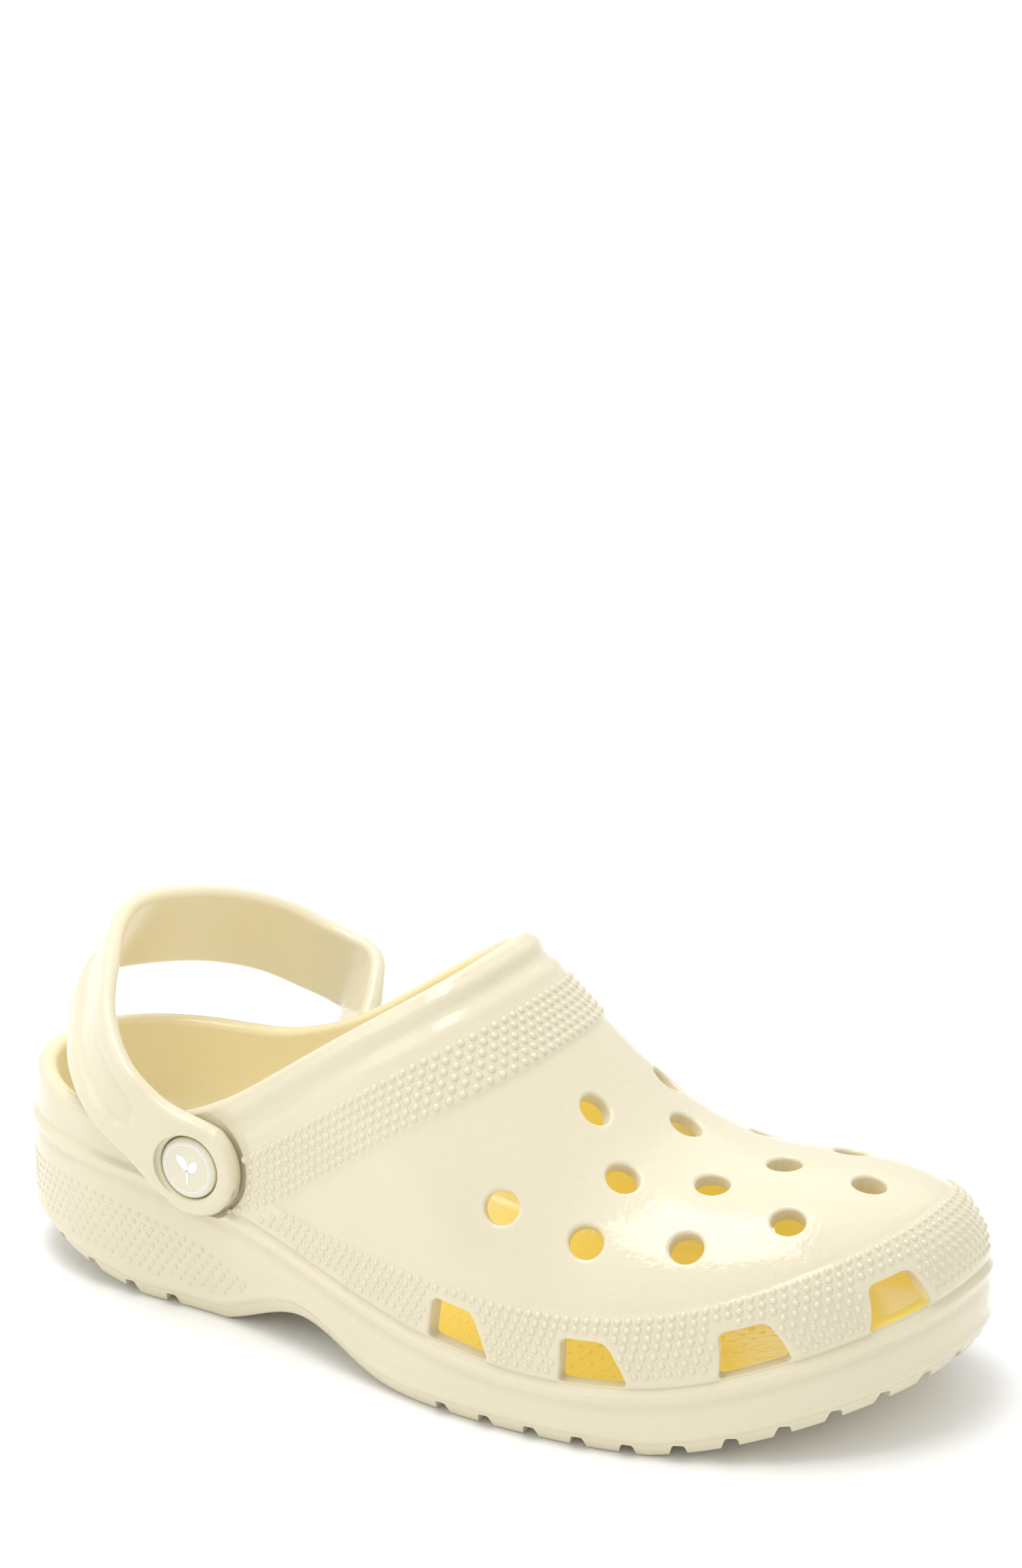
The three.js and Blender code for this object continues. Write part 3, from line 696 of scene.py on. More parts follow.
# ---- Shell ----
def side_rings(skin):
    """Rings of the sole's side, from its bottom corner up to the ledge, with a groove under each roll."""
    ledge = bpy.context.scene.clog_shell.ledge / MM
    bottom = sole_z(skin.station)
    tall = ledge_z(skin.station) - bottom
    from_below = (0, 0.5, 1.2, 2.2, 3.2, 3.8, 4.4, 5.2, 6.1, 7.0, 8.0)
    from_above = (8.2, 7.2, 6.4, 5.6, 5.0, 4.4, 3.8, 3.1, 2.4, 1.7, 1.1, 0.6, 0.25)
    between = 5
    low_profile = smooth_profile([(0, -SOLE_EDGE_INSET), (0.7, -1.2), (3.6, 0.0), (4.2, 0.3),
                                  (5.7, ledge - 0.2), (8.0, 0.9), (99, 0.9)])
    high_profile = smooth_profile([(0, 0.1), (1.8, ledge - 0.1), (3.0, ledge - 0.2), (5.0, 0.35),
                                   (8.2, 0.9), (99, 0.9)])
    # Where the side is low, its rows and its profile are squeezed to fit.
    full_height = 17.0
    room = np.minimum(1, tall / full_height)
    low, high = from_below[-1] * room, tall - from_above[0] * room
    heights = [v * room for v in from_below]
    heights += [low + (high - low) * k / (between + 1) for k in range(1, between + 1)]
    heights += [tall - v * room for v in from_above]
    rings = []
    for height in heights:
        outset = np.where(height < tall / 2, low_profile(height / room), high_profile((tall - height) / room))
        p = skin.outline - skin.inward * outset[:, None]
        p[:, 2] = bottom + height
        rings.append(p)
    return rings


def rim_rings(skin, wall):
    """Rings over the rounded top of the opening's edge, from the outer face to the inner."""
    sizes = bpy.context.scene.clog_shell
    edge, normal = skin.base[:, -1], skin.normals[:, -1]
    up = unit(skin.base[:, -1] - skin.base[:, -3])
    lip = skin.outset()[:, -1][:, None]
    rings = []
    for turn in np.linspace(0, math.pi, 12)[1:-1]:
        inset = wall[:, None] / 2 * (1 - math.cos(turn)) - lip * (1 + math.cos(turn)) / 2
        rings.append(edge - normal * inset + up * (sizes.rim_round / MM * math.sin(turn)))
    return rings


def inner_rings(skin, wall):
    """Rings down the inside of the upper, over the hollow corner and along the footbed."""
    sizes = bpy.context.scene.clog_shell
    fillet = sizes.footbed_fillet / MM
    inner = skin.base - skin.normals * wall[:, None, None]
    rows = list(range(skin.base.shape[1] - 1, 0, -4))
    rings = [inner[:, j] for j in rows]
    top = ledge_z(skin.station)
    floor = footbed_z(skin.station)
    for turn in np.linspace(0, math.pi / 2, 9):
        p = skin.outline + skin.inward * (wall + fillet * (1 - math.cos(turn)))[:, None]
        p[:, 2] = floor + (top - floor) * (1 - math.sin(turn))
        rings.append(p)
    return rings


def closing_rings(ring, height_at, shares):
    """Rings that draw a nearly flat face in towards its middle line."""
    middle = axis_y(ring[:, 0] / HALF)
    rings = []
    for share in shares:
        p = ring.copy()
        p[:, 1] = middle + (ring[:, 1] - middle) * share
        p[:, 2] = height_at(ring, share)
        rings.append(p)
    return rings


def shell_body(skin):
    """The whole shell as one closed mesh, before its holes are cut."""
    sizes = bpy.context.scene.clog_shell
    forward = smooth_step(-0.7, -0.45, skin.station)
    wall = sizes.heel_wall / MM + (sizes.upper_wall - sizes.heel_wall) / MM * forward
    side = side_rings(skin)
    under = closing_rings(side[0], lambda ring, share: ring[:, 2], (0.12, 0.5, 0.85, 0.97))
    inside = inner_rings(skin, wall)
    floor = closing_rings(inside[-1], lambda ring, share: ring[:, 2] - FOOTBED_DISH * (1 - share**2),
                          (0.96, 0.86, 0.7, 0.5, 0.3, 0.12))
    skin_rows = [skin.points[:, j] for j in range(skin.points.shape[1])]
    rings = under + side + skin_rows + rim_rings(skin, wall) + inside + floor
    faces = ring_faces(len(rings), skin.columns)
    faces += [f[::-1] for f in zip_across(skin.columns, 0)]
    faces += zip_across(skin.columns, (len(rings) - 1) * skin.columns)
    piece = mesh_piece("shell", np.concatenate(rings), faces)
    face_outwards(piece)
    return piece


def settle_on_dome(points, normal):
    """Moves points along a normal until they lie on the dome."""
    for _ in range(4):
        station = points[:, 0] / HALF
        off = points[:, 1] - axis_y(station)
        target = dome_point(station, off / half_width(station, off))
        points = points + normal * ((target[:, 2] - points[:, 2]) * normal[2])[:, None]
    return points


def vent_cutter(station, share, number):
    """Round cutter, square to the dome, that flares out at the surface to round the hole's edge."""
    sizes = bpy.context.scene.clog_shell
    radius, edge = sizes.vent / MM / 2, sizes.vent_edge / MM
    step = 0.005
    centre = dome_point(station, share)
    along = dome_point(station + step, share) - dome_point(station - step, share)
    across = dome_point(station, share + step) - dome_point(station, share - step)
    normal = unit(np.cross(along, across))
    first = unit(along)
    second = np.cross(normal, first)
    sides = 56
    angles = np.linspace(0, 2 * math.pi, sides, endpoint=False)
    turns = np.linspace(0, math.pi / 2, 7)
    profile = [(radius + edge + 0.6, 2.5), (radius + edge + 0.6, 0.12)]
    profile += [(radius + edge * (1 - math.sin(t)), edge * (math.cos(t) - 1)) for t in turns]
    profile += [(radius, -9), (radius + 0.01, -9.5)]
    rings = []
    for r, depth in profile:
        ring = centre + r * (np.cos(angles)[:, None] * first + np.sin(angles)[:, None] * second)
        rings.append(settle_on_dome(ring, normal) + normal * depth)
    return mesh_piece(f"vent_cutter_{number}", np.concatenate(rings), tube_faces(len(rings), sides))


def rounded_outline(corners, radii, arc_points=7):
    """Outline of a polygon with rounded corners, counter-clockwise."""
    corners = np.array(corners, float)
    result = []
    for i, radius in enumerate(radii):
        before = unit(corners[i - 1] - corners[i])
        after = unit(corners[(i + 1) % len(corners)] - corners[i])
        half_angle = math.acos(np.clip(before @ after, -1, 1)) / 2
        reach = radius / math.tan(half_angle)
        start, end = corners[i] + before * reach, corners[i] + after * reach
        centre = corners[i] + unit(before + after) * radius / math.sin(half_angle)
        from_angle = math.atan2(*(start - centre)[::-1])
        sweep = (math.atan2(*(end - centre)[::-1]) - from_angle + math.pi) % (2 * math.pi) - math.pi
        for k in range(arc_points):
            a = from_angle + sweep * k / (arc_points - 1)
            result.append(centre + radius * np.array([math.cos(a), math.sin(a)]))
    return np.array(result)


def densify(outline, longest):
    """Adds points so that no side of a closed outline is longer than a limit."""
    result = []
    for a, b in zip(outline, np.roll(outline, -1, axis=0)):
        steps = max(1, int(math.ceil(np.linalg.norm(b - a) / longest)))
        result += [a + (b - a) * k / steps for k in range(steps)]
    return np.array(result)


def outward_of(outline):
    """Outward directions at the points of a counter-clockwise outline."""
    along = unit(np.roll(outline, -1, axis=0) - np.roll(outline, 1, axis=0))
    return np.stack([along[:, 1], -along[:, 0]], axis=-1)


def port_outline():
    """A port seen from outside: rounded upper corners, its heel-side edge steeper than its toe-side one."""
    sizes = bpy.context.scene.clog_shell
    bottom, top, tall = sizes.port_bottom / MM, sizes.port_top / MM, sizes.port_height / MM
    left = -bottom / 2
    corners = [(left, 0.4), (left + bottom, 0.4), (left + PORT_LEAN + top, tall), (left + PORT_LEAN, tall)]
    return densify(rounded_outline(corners, (1.2, 1.2, 3.2, 2.6)), 1.6)


def port_cutter(skin, turn, number):
    """Cutter for one port, bent to the wall so that its rounded edge follows the surface."""
    edge = bpy.context.scene.clog_shell.port_edge / MM
    face = port_outline() * np.array([1 if turn < 0 else -1, 1])
    if turn > 0:
        face = face[::-1]
    out = outward_of(face)
    place = skin.columns / 2 + turn / skin.spacing
    turns = np.linspace(0, math.pi / 2, 6)
    profile = [(edge + 0.3, 3.0), (edge + 0.3, 0.12)]
    profile += [(edge * (1 - math.sin(t)), edge * (math.cos(t) - 1)) for t in turns]
    profile += [(0, -5), (0, -10)]
    rings = []
    for spread, depth in profile:
        flat = face + out * spread
        flat[:, 1] = np.maximum(flat[:, 1], 0.15)
        ring = []
        for along, up in flat:
            p, normal = skin.at(place + along / skin.spacing, up)
            level = unit(normal * np.array([1, 1, 0.25]))
            ring.append(p + normal * max(depth, -1.2) + level * min(0, depth + 1.2))
        rings.append(ring)
    return mesh_piece(f"port_cutter_{number}", np.concatenate(rings), tube_faces(len(rings), len(face)))


def lug_gap_cutter(skin, place, number):
    """Wedge that parts two of the tread's lugs at the sole's edge, wider at the ground."""
    depth = bpy.context.scene.clog_shell.tread_depth / MM
    centre, inward = skin.outline_at(place)
    along = np.array([inward[1], -inward[0], 0])
    bottom = float(sole_z(centre[0] / HALF))
    up = np.array([0, 0, 1])
    right = [(2.9, -1.5), (1.7, depth - 0.5), (1.2, depth)]
    section = [(-2.9, -1.5), *right, (-1.2, depth), (-1.7, depth - 0.5)]
    points = [centre + inward * r + along * a + up * (bottom + h) for r in (-6, 15) for a, h in section]
    n = len(section)
    faces = [tuple(range(n - 1, -1, -1)), tuple(range(n, 2 * n))]
    faces += [(k, (k + 1) % n, n + (k + 1) % n, n + k) for k in range(n)]
    return mesh_piece(f"lug_gap_{number}", points, faces)


def lug_gap_places(skin):
    """Places of the gaps round the sole's edge, in columns: round the forefoot and round the heel."""
    pitch = bpy.context.scene.clog_shell.tread_pitch / MM / skin.spacing
    toe = skin.columns / 2
    at_toe = int((toe - np.argmax(skin.station > 0.06)) / pitch)
    at_heel = int(np.argmax(skin.station > -0.5) / pitch)
    places = [toe + pitch * k for k in range(-at_toe, at_toe + 1)]
    return places + [(pitch * k) % skin.columns for k in range(-at_heel, at_heel + 1)]


def cross_bar_cutters(skin):
    """Straight grooves across the middle of the tread."""
    depth = 0.8 * bpy.context.scene.clog_shell.tread_depth / MM
    from_edge = 19
    cutters = []
    for number, station in enumerate([*np.arange(0.1, 0.86, 0.097), *np.arange(-0.86, -0.5, 0.097)]):
        x = station * HALF
        spread = float((1 - end_rounding(np.array(station))) ** (1 / PLAN_POWER))
        low = float(axis_y(station) - lateral_half(station) * spread) + from_edge
        high = float(axis_y(station) + medial_half(station) * spread) - from_edge
        if high - low < 6:
            continue
        bottom = float(sole_z(station))
        points = [(x + dx, y, bottom + z) for y in (low, high)
                  for dx, z in ((-1.8, -1.5), (1.8, -1.5), (1.1, depth), (-1.1, depth))]
        faces = [(3, 2, 1, 0), (4, 5, 6, 7), (0, 1, 5, 4), (1, 2, 6, 5), (2, 3, 7, 6), (3, 0, 4, 7)]
        cutters.append(mesh_piece(f"bar_cutter_{number}", points, faces))
    return cutters


def set_painted_light(piece, painted_light_of):
    """Marks each face with how much painted light deepens and lights its colour, from its centre and its
    normal.
    """
    mesh = piece.data
    centres = np.empty(len(mesh.polygons) * 3, np.float32)
    normals = np.empty(len(mesh.polygons) * 3, np.float32)
    mesh.polygons.foreach_get("center", centres)
    mesh.polygons.foreach_get("normal", normals)
    depth = painted_light_of(centres.reshape(-1, 3).astype(float) / MM, normals.reshape(-1, 3).astype(float))
    # The attribute named depth carries each face's share of painted light.
    attribute = mesh.attributes.new("depth", "FLOAT", "FACE")
    attribute.data.foreach_set("value", depth.astype(np.float32))


def painted_inner_light(points, normals):
    """How much painted light deepens the foam's colour and lights it: 0 outside, rising forward under the
    vamp.
    """
    station = points[:, 0] / HALF
    off = points[:, 1] - axis_y(station)
    width = half_width(station, off)
    share = np.clip(off / width, -1, 1)
    surface = dome_point(station, share)[:, 2]
    wall = bpy.context.scene.clog_shell.upper_wall / MM
    plan_room = np.maximum(0, 1 - end_rounding(station)) ** (1 / PLAN_POWER) * width - np.abs(off)
    under_roof = smooth_step(1.1 * wall, 3 * wall, surface - points[:, 2])
    within = smooth_step(0.8 * wall, 0.95 * wall, plan_room)
    over_floor = smooth_step(-3, -1, points[:, 2] - footbed_z(station))
    covered = 0.5 + 0.5 * smooth_step(-0.3, 0.05, station)
    return under_roof * within * over_floor * covered


def cut_rivet_seats(shell, label, side):
    """Cuts the ear's seat, the post's bore and the cap's seat into one side of the shell."""
    crown, _ = rivet_face(side)
    seat = crown - EAR_THICKNESS - 2 * CLEARANCE
    ear, cap = EAR_RADIUS + 0.5, CAP_RADIUS + CLEARANCE
    cut(shell, turned_about_rivet(
        f"seat_cutter_{label}", side,
        [(ear + 1.2, seat + 9), (ear + 1.2, seat + 2.2), (ear + 0.3, seat + 0.7), (ear - 0.2, seat)]))
    cut(shell, turned_about_rivet(f"post_cutter_{label}", side,
                                  [(BORE_RADIUS, seat + 4), (BORE_RADIUS, seat - 12)], 48))
    cut(shell, turned_about_rivet(f"cap_cutter_{label}", side, [(cap, seat - 3.2), (cap, seat - 7.2)]))


def build_shell():
    skin = Skin(bpy.context.scene.clog_shell.mesh_columns)
    shell = shell_body(skin)
    vents = [vent_cutter(station, share, k) for k, (station, share) in enumerate(VENTS)]
    ports = [port_cutter(skin, turn, k) for k, turn in enumerate(PORT_TURNS)]
    cut(shell, join(vents + ports))
    gaps = [lug_gap_cutter(skin, place, k) for k, place in enumerate(lug_gap_places(skin))]
    cut(shell, join(gaps + cross_bar_cutters(skin)))
    for label, side in SIDES:
        cut_rivet_seats(shell, label, side)
    # Painted light: faces inside the shell get the painted deeper, glowing yellow.
    set_painted_light(shell, painted_inner_light)
    paint(shell, "glossy_shell_foam")
    smooth_finish(shell)
    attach(shell, "clog")
    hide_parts("clog_shell")
    return skin


# ---- Studs ----

def stud_shape(radius, height):
    """One stud, standing on the origin along Z: a small bell, closed underneath."""
    deselect()
    bpy.ops.mesh.primitive_cylinder_add(vertices=8, radius=radius * 1.25, depth=0.4 * MM,
                                        location=(0, 0, -0.2 * MM))
    stud = bpy.context.object
    bpy.ops.object.transform_apply()
    bpy.ops.object.mode_set(mode="EDIT")
    bpy.ops.mesh.select_mode(type="FACE")
    bpy.ops.mesh.select_all(action="DESELECT")
    bpy.ops.object.mode_set(mode="OBJECT")
    for face in stud.data.polygons:
        face.select = face.normal.z > 0.5
    bpy.ops.object.mode_set(mode="EDIT")
    for shrink, rise in ((0.8, 0.28), (0.76, 0.42), (0.5, 0.3)):
        bpy.ops.mesh.extrude_region_move(TRANSFORM_OT_translate={"value": (0, 0, rise * height)})
        bpy.ops.transform.resize(value=(shrink, shrink, 1), center_override=(0, 0, 0))
    bpy.ops.mesh.poke()
    bpy.ops.object.mode_set(mode="OBJECT")
    mesh = stud.data
    points = np.array([v.co[:] for v in mesh.vertices])
    faces = [tuple(f.vertices) for f in mesh.polygons]
    bpy.data.objects.remove(stud)
    return points, faces


def stud_field(name, places, scale=1.0):
    """One piece of many like studs; places are (point, normal) in millimetres."""
    sizes = bpy.context.scene.clog_studs
    shape, shape_faces = stud_shape(sizes.radius * scale, sizes.height * scale)
    points, faces = [], []
    for k, (place, normal) in enumerate(places):
        turn = Vector(normal).to_track_quat("Z", "Y").to_matrix()
        points.append(shape @ np.array(turn).T / MM + place)
        faces += [tuple(k * len(shape) + v for v in face) for face in shape_faces]
    piece = mesh_piece(name, np.concatenate(points), faces)
    select_only(piece)
    bpy.ops.object.shade_smooth()
    paint(piece, "glossy_shell_foam")
    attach(piece, "clog")
    return piece


def clear_of_ears(point, margin):
    pivot = rivet_axis()
    return math.hypot(point[0] - pivot[0], point[2] - pivot[2]) > EAR_RADIUS + margin


def toe_stud_places(skin):
    """Rows of studs over the raised band along the ledge, clear of the ports, the collar and the ears."""
    sizes = bpy.context.scene.clog_studs
    pitch, row_pitch = sizes.pitch / MM, sizes.row_pitch / MM
    port = port_outline()
    margin = 1.9
    reach = int(skin.columns / 2 * skin.spacing / pitch)
    places = []
    for step in range(-2 * reach, 2 * reach + 1):
        along = step * pitch / 2
        place = skin.columns / 2 + along / skin.spacing
        station = skin.station[int(place) % skin.columns]
        if station < -0.46 or not 0 <= place < skin.columns:
            continue
        top = float(band_height(station)) - 0.9
        rows = int((top - 1.9) / row_pitch) + 1
        for row in range(rows):
            if (row + step) % 2:
                continue
            up = top - row * row_pitch
            if near_port(port, along, up, margin):
                continue
            p, normal = skin.at(place, up)
            edge = edge_distance(skin, place, up)
            if edge > 31.5 and clear_of_ears(p, 1.5):
                places.append((p, normal))
    return places


def near_port(port, along, up, margin):
    """Whether a place on the wall lies in a port, or within a margin of one."""
    for turn in PORT_TURNS:
        x = (along - turn) * (1 if turn < 0 else -1)
        low, high = port.min(axis=0) - margin, port.max(axis=0) + margin
        if not (low[0] < x < high[0] and low[1] < up < high[1]):
            continue
        slant_front = np.interp(up, (0, high[1]), (high[0], high[0] - PORT_SLANT))
        slant_rear = np.interp(up, (0, high[1]), (low[0], low[0] + PORT_LEAN))
        if slant_rear < x < slant_front:
            return True
    return False


def edge_distance(skin, place, up):
    """Distance from the opening's edge of a place on the wall."""
    i = int(place) % skin.columns
    return float(np.interp(up, skin.from_ledge[i], skin.from_edge[i]))


def collar_stud_places(skin):
    """Rows of studs at set distances from the opening's edge, from ear to ear."""
    sizes = bpy.context.scene.clog_studs
    pitch, row_pitch = sizes.pitch / MM, sizes.row_pitch / MM
    known = (skin.from_edge > 8) & (skin.from_edge < 36) & (skin.base[..., 0] / HALF > -0.55)
    field = np.stack([skin.edge_place[known], skin.from_edge[known]], axis=-1)
    points, normals = skin.points[known], skin.normals[known]
    ledge_run = skin.from_ledge[known]
    count = int(skin.edge_length / pitch)
    first, rows = 15.3, 6
    places = []
    for row in range(rows):
        for k in range(count):
            want = np.array([(k + 0.5 * (row % 2)) * skin.edge_length / count, first + row * row_pitch])
            gap = np.linalg.norm(field - want, axis=1)
            near = np.argsort(gap)[:8]
            if gap[near[0]] > 1.5:
                continue
            weight = 1 / (gap[near] + 0.15) ** 2
            lhs = np.column_stack([np.ones(8), field[near] - want]) * weight[:, None]
            p = np.linalg.lstsq(lhs, points[near] * weight[:, None], rcond=None)[0][0]
            if np.linalg.norm(p - points[near[0]]) > 2.5:
                continue
            normal = unit((normals[near] * weight[:, None]).sum(axis=0))
            if p[0] / HALF < -0.44 or not clear_of_ears(p, 1.5):
                continue
            places.append((p, normal))
    return places


def heel_stud_places(skin):
    """Studs low round the heel's side, under its smooth upper part."""
    sizes = bpy.context.scene.clog_studs
    pitch, row_pitch = sizes.pitch / MM, sizes.row_pitch / MM
    last = np.argmax(skin.station > -0.36)
    reach = int(last * skin.spacing / (pitch / 2))
    places = []
    for step in range(-reach, reach + 1):
        place = (step * pitch / 2 / skin.spacing) % skin.columns
        foot, inward = skin.outline_at(place)
        station = foot[0] / HALF
        bottom = float(sole_z(station))
        top = float(heel_stud_top(station))
        for row in range(12):
            z = top - row * row_pitch
            if (row + step) % 2 or z < bottom + 8.6:
                continue
            places.append((np.array([*(foot - inward * 0.83)[:2], z]), -inward))
    return places


def nub_places():
    """Small nubs on the footbed under the ball and the toes."""
    places = []
    pitch = 5.0
    for row in range(-2, 22):
        x = 5 + row * pitch * 0.87
        station = x / HALF
        if station > 0.86:
            continue
        spread = float(max(0, 1 - end_rounding(np.array(station))) ** (1 / PLAN_POWER))
        for k in range(-10, 11):
            y = (k + 0.5 * (row % 2)) * pitch + float(axis_y(station))
            room = float(half_width(station, y - axis_y(station))) * spread - abs(y - float(axis_y(station)))
            if room < 13:
                continue
            share = (y - float(axis_y(station))) / (float(half_width(station, y)) * spread)
            places.append((np.array([x, y, float(footbed_z(station)) - 1.1 * (1 - share**2)]),
                           np.array([0, 0, 1.0])))
    return places


# ---- Strap ----
# Middle line from the lateral ear round the back to the medial one: share of the reach, share of the ear's
# distance, and rise out of the strap's plane as a share of the reach.
STRAP_LINE = [(0, -1, 0), (0.12, -1.04, 0), (0.28, -1.06, 0), (0.47, -1.02, 0),
              (0.69, -0.79, 0), (0.88, -0.4, 0), (1.02, -0.04, 0), (1.06, 0.26, 0),
              (0.98, 0.67, 0.02), (0.83, 1.1, 0.04), (0.66, 1.34, 0.065), (0.5, 1.43, 0.09),
              (0.36, 1.45, 0.13), (0.25, 1.4, 0.17), (0.15, 1.2, 0.15), (0.07, 1.03, 0.07),
              (0, 1, 0)]
STRAP_REACH = 66.0
STRAP_RAISE = math.radians(32)


def catmull_rom(points, steps):
    """Smooth chain through points, with evenly spread steps."""
    points = np.asarray(points, float)
    ends = np.vstack([2 * points[0] - points[1], points, 2 * points[-1] - points[-2]])
    knots = np.concatenate([[0], np.cumsum(np.linalg.norm(np.diff(ends, axis=0), axis=1) ** 0.5)])
    chain = []
    for i in range(1, len(ends) - 2):
        t0, t1, t2, t3 = knots[i - 1:i + 3]
        for t in np.linspace(t1, t2, 24, endpoint=False):
            a1 = ends[i - 1] * (t1 - t) / (t1 - t0) + ends[i] * (t - t0) / (t1 - t0)
            a2 = ends[i] * (t2 - t) / (t2 - t1) + ends[i + 1] * (t - t1) / (t2 - t1)
            a3 = ends[i + 1] * (t3 - t) / (t3 - t2) + ends[i + 2] * (t - t2) / (t3 - t2)
            b1 = a1 * (t2 - t) / (t2 - t0) + a2 * (t - t0) / (t2 - t0)
            b2 = a2 * (t3 - t) / (t3 - t1) + a3 * (t - t1) / (t3 - t1)
            chain.append(b1 * (t2 - t) / (t2 - t1) + b2 * (t - t1) / (t2 - t1))
    chain.append(points[-1])
    return spread_evenly(np.array(chain), steps)


def strap_line():
    """Middle line of the strap from tip to tip, in millimetres, with the ears' round ends."""
    pivot = rivet_axis()
    back = np.array([-math.cos(STRAP_RAISE), 0, math.sin(STRAP_RAISE)])
    normal = np.array([math.sin(STRAP_RAISE), 0, math.cos(STRAP_RAISE)])
    ears = {side: rivet_face(side)[0] - 0.3 - EAR_THICKNESS / 2 for side in (LATERAL, MEDIAL)}
    controls = []
    for reach, share, rise in STRAP_LINE:
        p = pivot + (back * reach + normal * rise) * STRAP_REACH
        p[1] = share * ears[MEDIAL if share > 0 else LATERAL]
        controls.append(p)
    level = np.array([1, 0, 1])
    first = controls[0] - EAR_RADIUS * unit((controls[1] - controls[0]) * level)
    last = controls[-1] - EAR_RADIUS * unit((controls[-2] - controls[-1]) * level)
    chain = catmull_rom(controls, 900)
    lead = np.linspace(0, 1, 60, endpoint=False)[:, None]
    return np.vstack([first + (controls[0] - first) * lead, chain,
                      (controls[-1] + (last - controls[-1]) * lead)[1:], last[None]])


def half_width_along(run, total, sizes):
    """Half width of the strap at a run along its middle line: round ears, arms, wider back."""
    arm, back = sizes.arm_width / MM / 2, sizes.back_width / MM / 2
    from_tip = np.minimum(run, total - run)
    disc = np.sqrt(np.maximum(0, EAR_RADIUS**2 - (EAR_RADIUS - from_tip) ** 2))
    spread = arm + (back - arm) * smooth_step(28, total / 2, from_tip)
    join_from, join_to = EAR_RADIUS + 2.5, EAR_RADIUS + 19
    neck = EAR_RADIUS + (spread - EAR_RADIUS) * smooth_step(join_from - 6, join_to, from_tip)
    return np.where(from_tip < EAR_RADIUS, disc, neck)


def strap_painted_light(points, normals):
    """Painted light: the strap's inner face deepens a little towards its back, where the loop catches light.
    """
    pivot = rivet_axis()
    middle = pivot + np.array([-28, 0, 22])
    facing = smooth_step(0.2, 0.8, (normals * unit((middle - points) * np.array([1, 1, 0]))).sum(-1))
    return 0.35 * facing * smooth_step(6, 30, pivot[0] - points[:, 0])


def strap_sections(line, run, stations):
    """Centres of the strap's cross-sections, and their outward and upward directions."""
    centres = points_at(stations, run, line)
    along = unit(points_at(stations + 1.5, run, line) - points_at(stations - 1.5, run, line))
    up = np.array([math.sin(STRAP_RAISE), 0, math.cos(STRAP_RAISE)])
    up = unit(up - (along @ up)[:, None] * along)[:, None]
    outward = unit(np.cross(up[:, 0], along)) * -1
    inside_out = (outward * (centres - centres.mean(axis=0))).sum(-1, keepdims=True) < 0
    return centres, np.where(inside_out, -outward, outward), up


def inset_from_outline(flat, stations, total, sizes):
    """Distance of each point of the flattened strap from its outline."""
    fine = np.linspace(0, total, 1600)
    fine_width = half_width_along(fine, total, sizes)
    border = np.vstack([np.stack([fine, fine_width], axis=-1), np.stack([fine, -fine_width], axis=-1)])
    inset = np.zeros(flat.shape[:2])
    for i, station in enumerate(stations):
        near = border[np.abs(border[:, 0] - station) < 16]
        inset[i] = np.sqrt(((flat[i][:, None] - near[None]) ** 2).sum(-1)).min(axis=1)
    inset[:, 0] = inset[:, -1] = 0
    return inset


def rounded_height(inset, from_tip, sizes):
    """Half thickness of the strap over its flattened face, with its edges rounded."""
    arm = sizes.thickness / MM
    thick = EAR_THICKNESS + (arm - EAR_THICKNESS) * smooth_step(EAR_RADIUS * 1.6, EAR_RADIUS * 2.6, from_tip)
    edge = sizes.edge_round / MM + 0.4 * (1 - smooth_step(20, 40, from_tip))
    swell = np.sqrt(np.maximum(0, 1 - (1 - np.clip(inset / edge[:, None], 0, 1)) ** 2))
    return thick[:, None] / 2 * swell


def channel_share(flat, from_tip, total, sizes):
    """1 in the channel, which starts past the ear with a round end and runs all round the back."""
    start = EAR_RADIUS + 21
    half_channel = sizes.channel_width / MM / 2 * (1 + 0.25 * smooth_step(50, total / 2, from_tip))
    beyond = np.maximum(0, start + half_channel - from_tip)[:, None]
    distance = np.hypot(flat[..., 1], beyond)
    return 1 - smooth_step(half_channel[:, None] - 1.1, half_channel[:, None] + 0.9, distance)


def cut_ear_holes(strap, label, side):
    """Cuts the button's counterbore and the post's bore into one ear."""
    crown, _ = rivet_face(side)
    face = crown - CLEARANCE
    floor = face - HEAD_THICKNESS - CLEARANCE
    cut(strap, turned_about_rivet(
        f"counterbore_{label}", side,
        [(HEAD_RADIUS + 1.4, face + 4), (HEAD_RADIUS + 1.4, face + 0.02), (HEAD_RADIUS + 0.75, face - 0.22),
         (HEAD_RADIUS + 0.4, face - 0.75), (HEAD_RADIUS + CLEARANCE, floor)]))
    cut(strap, turned_about_rivet(f"bore_{label}", side,
                                  [(BORE_RADIUS, floor + 1), (BORE_RADIUS, floor - 8)], 48))


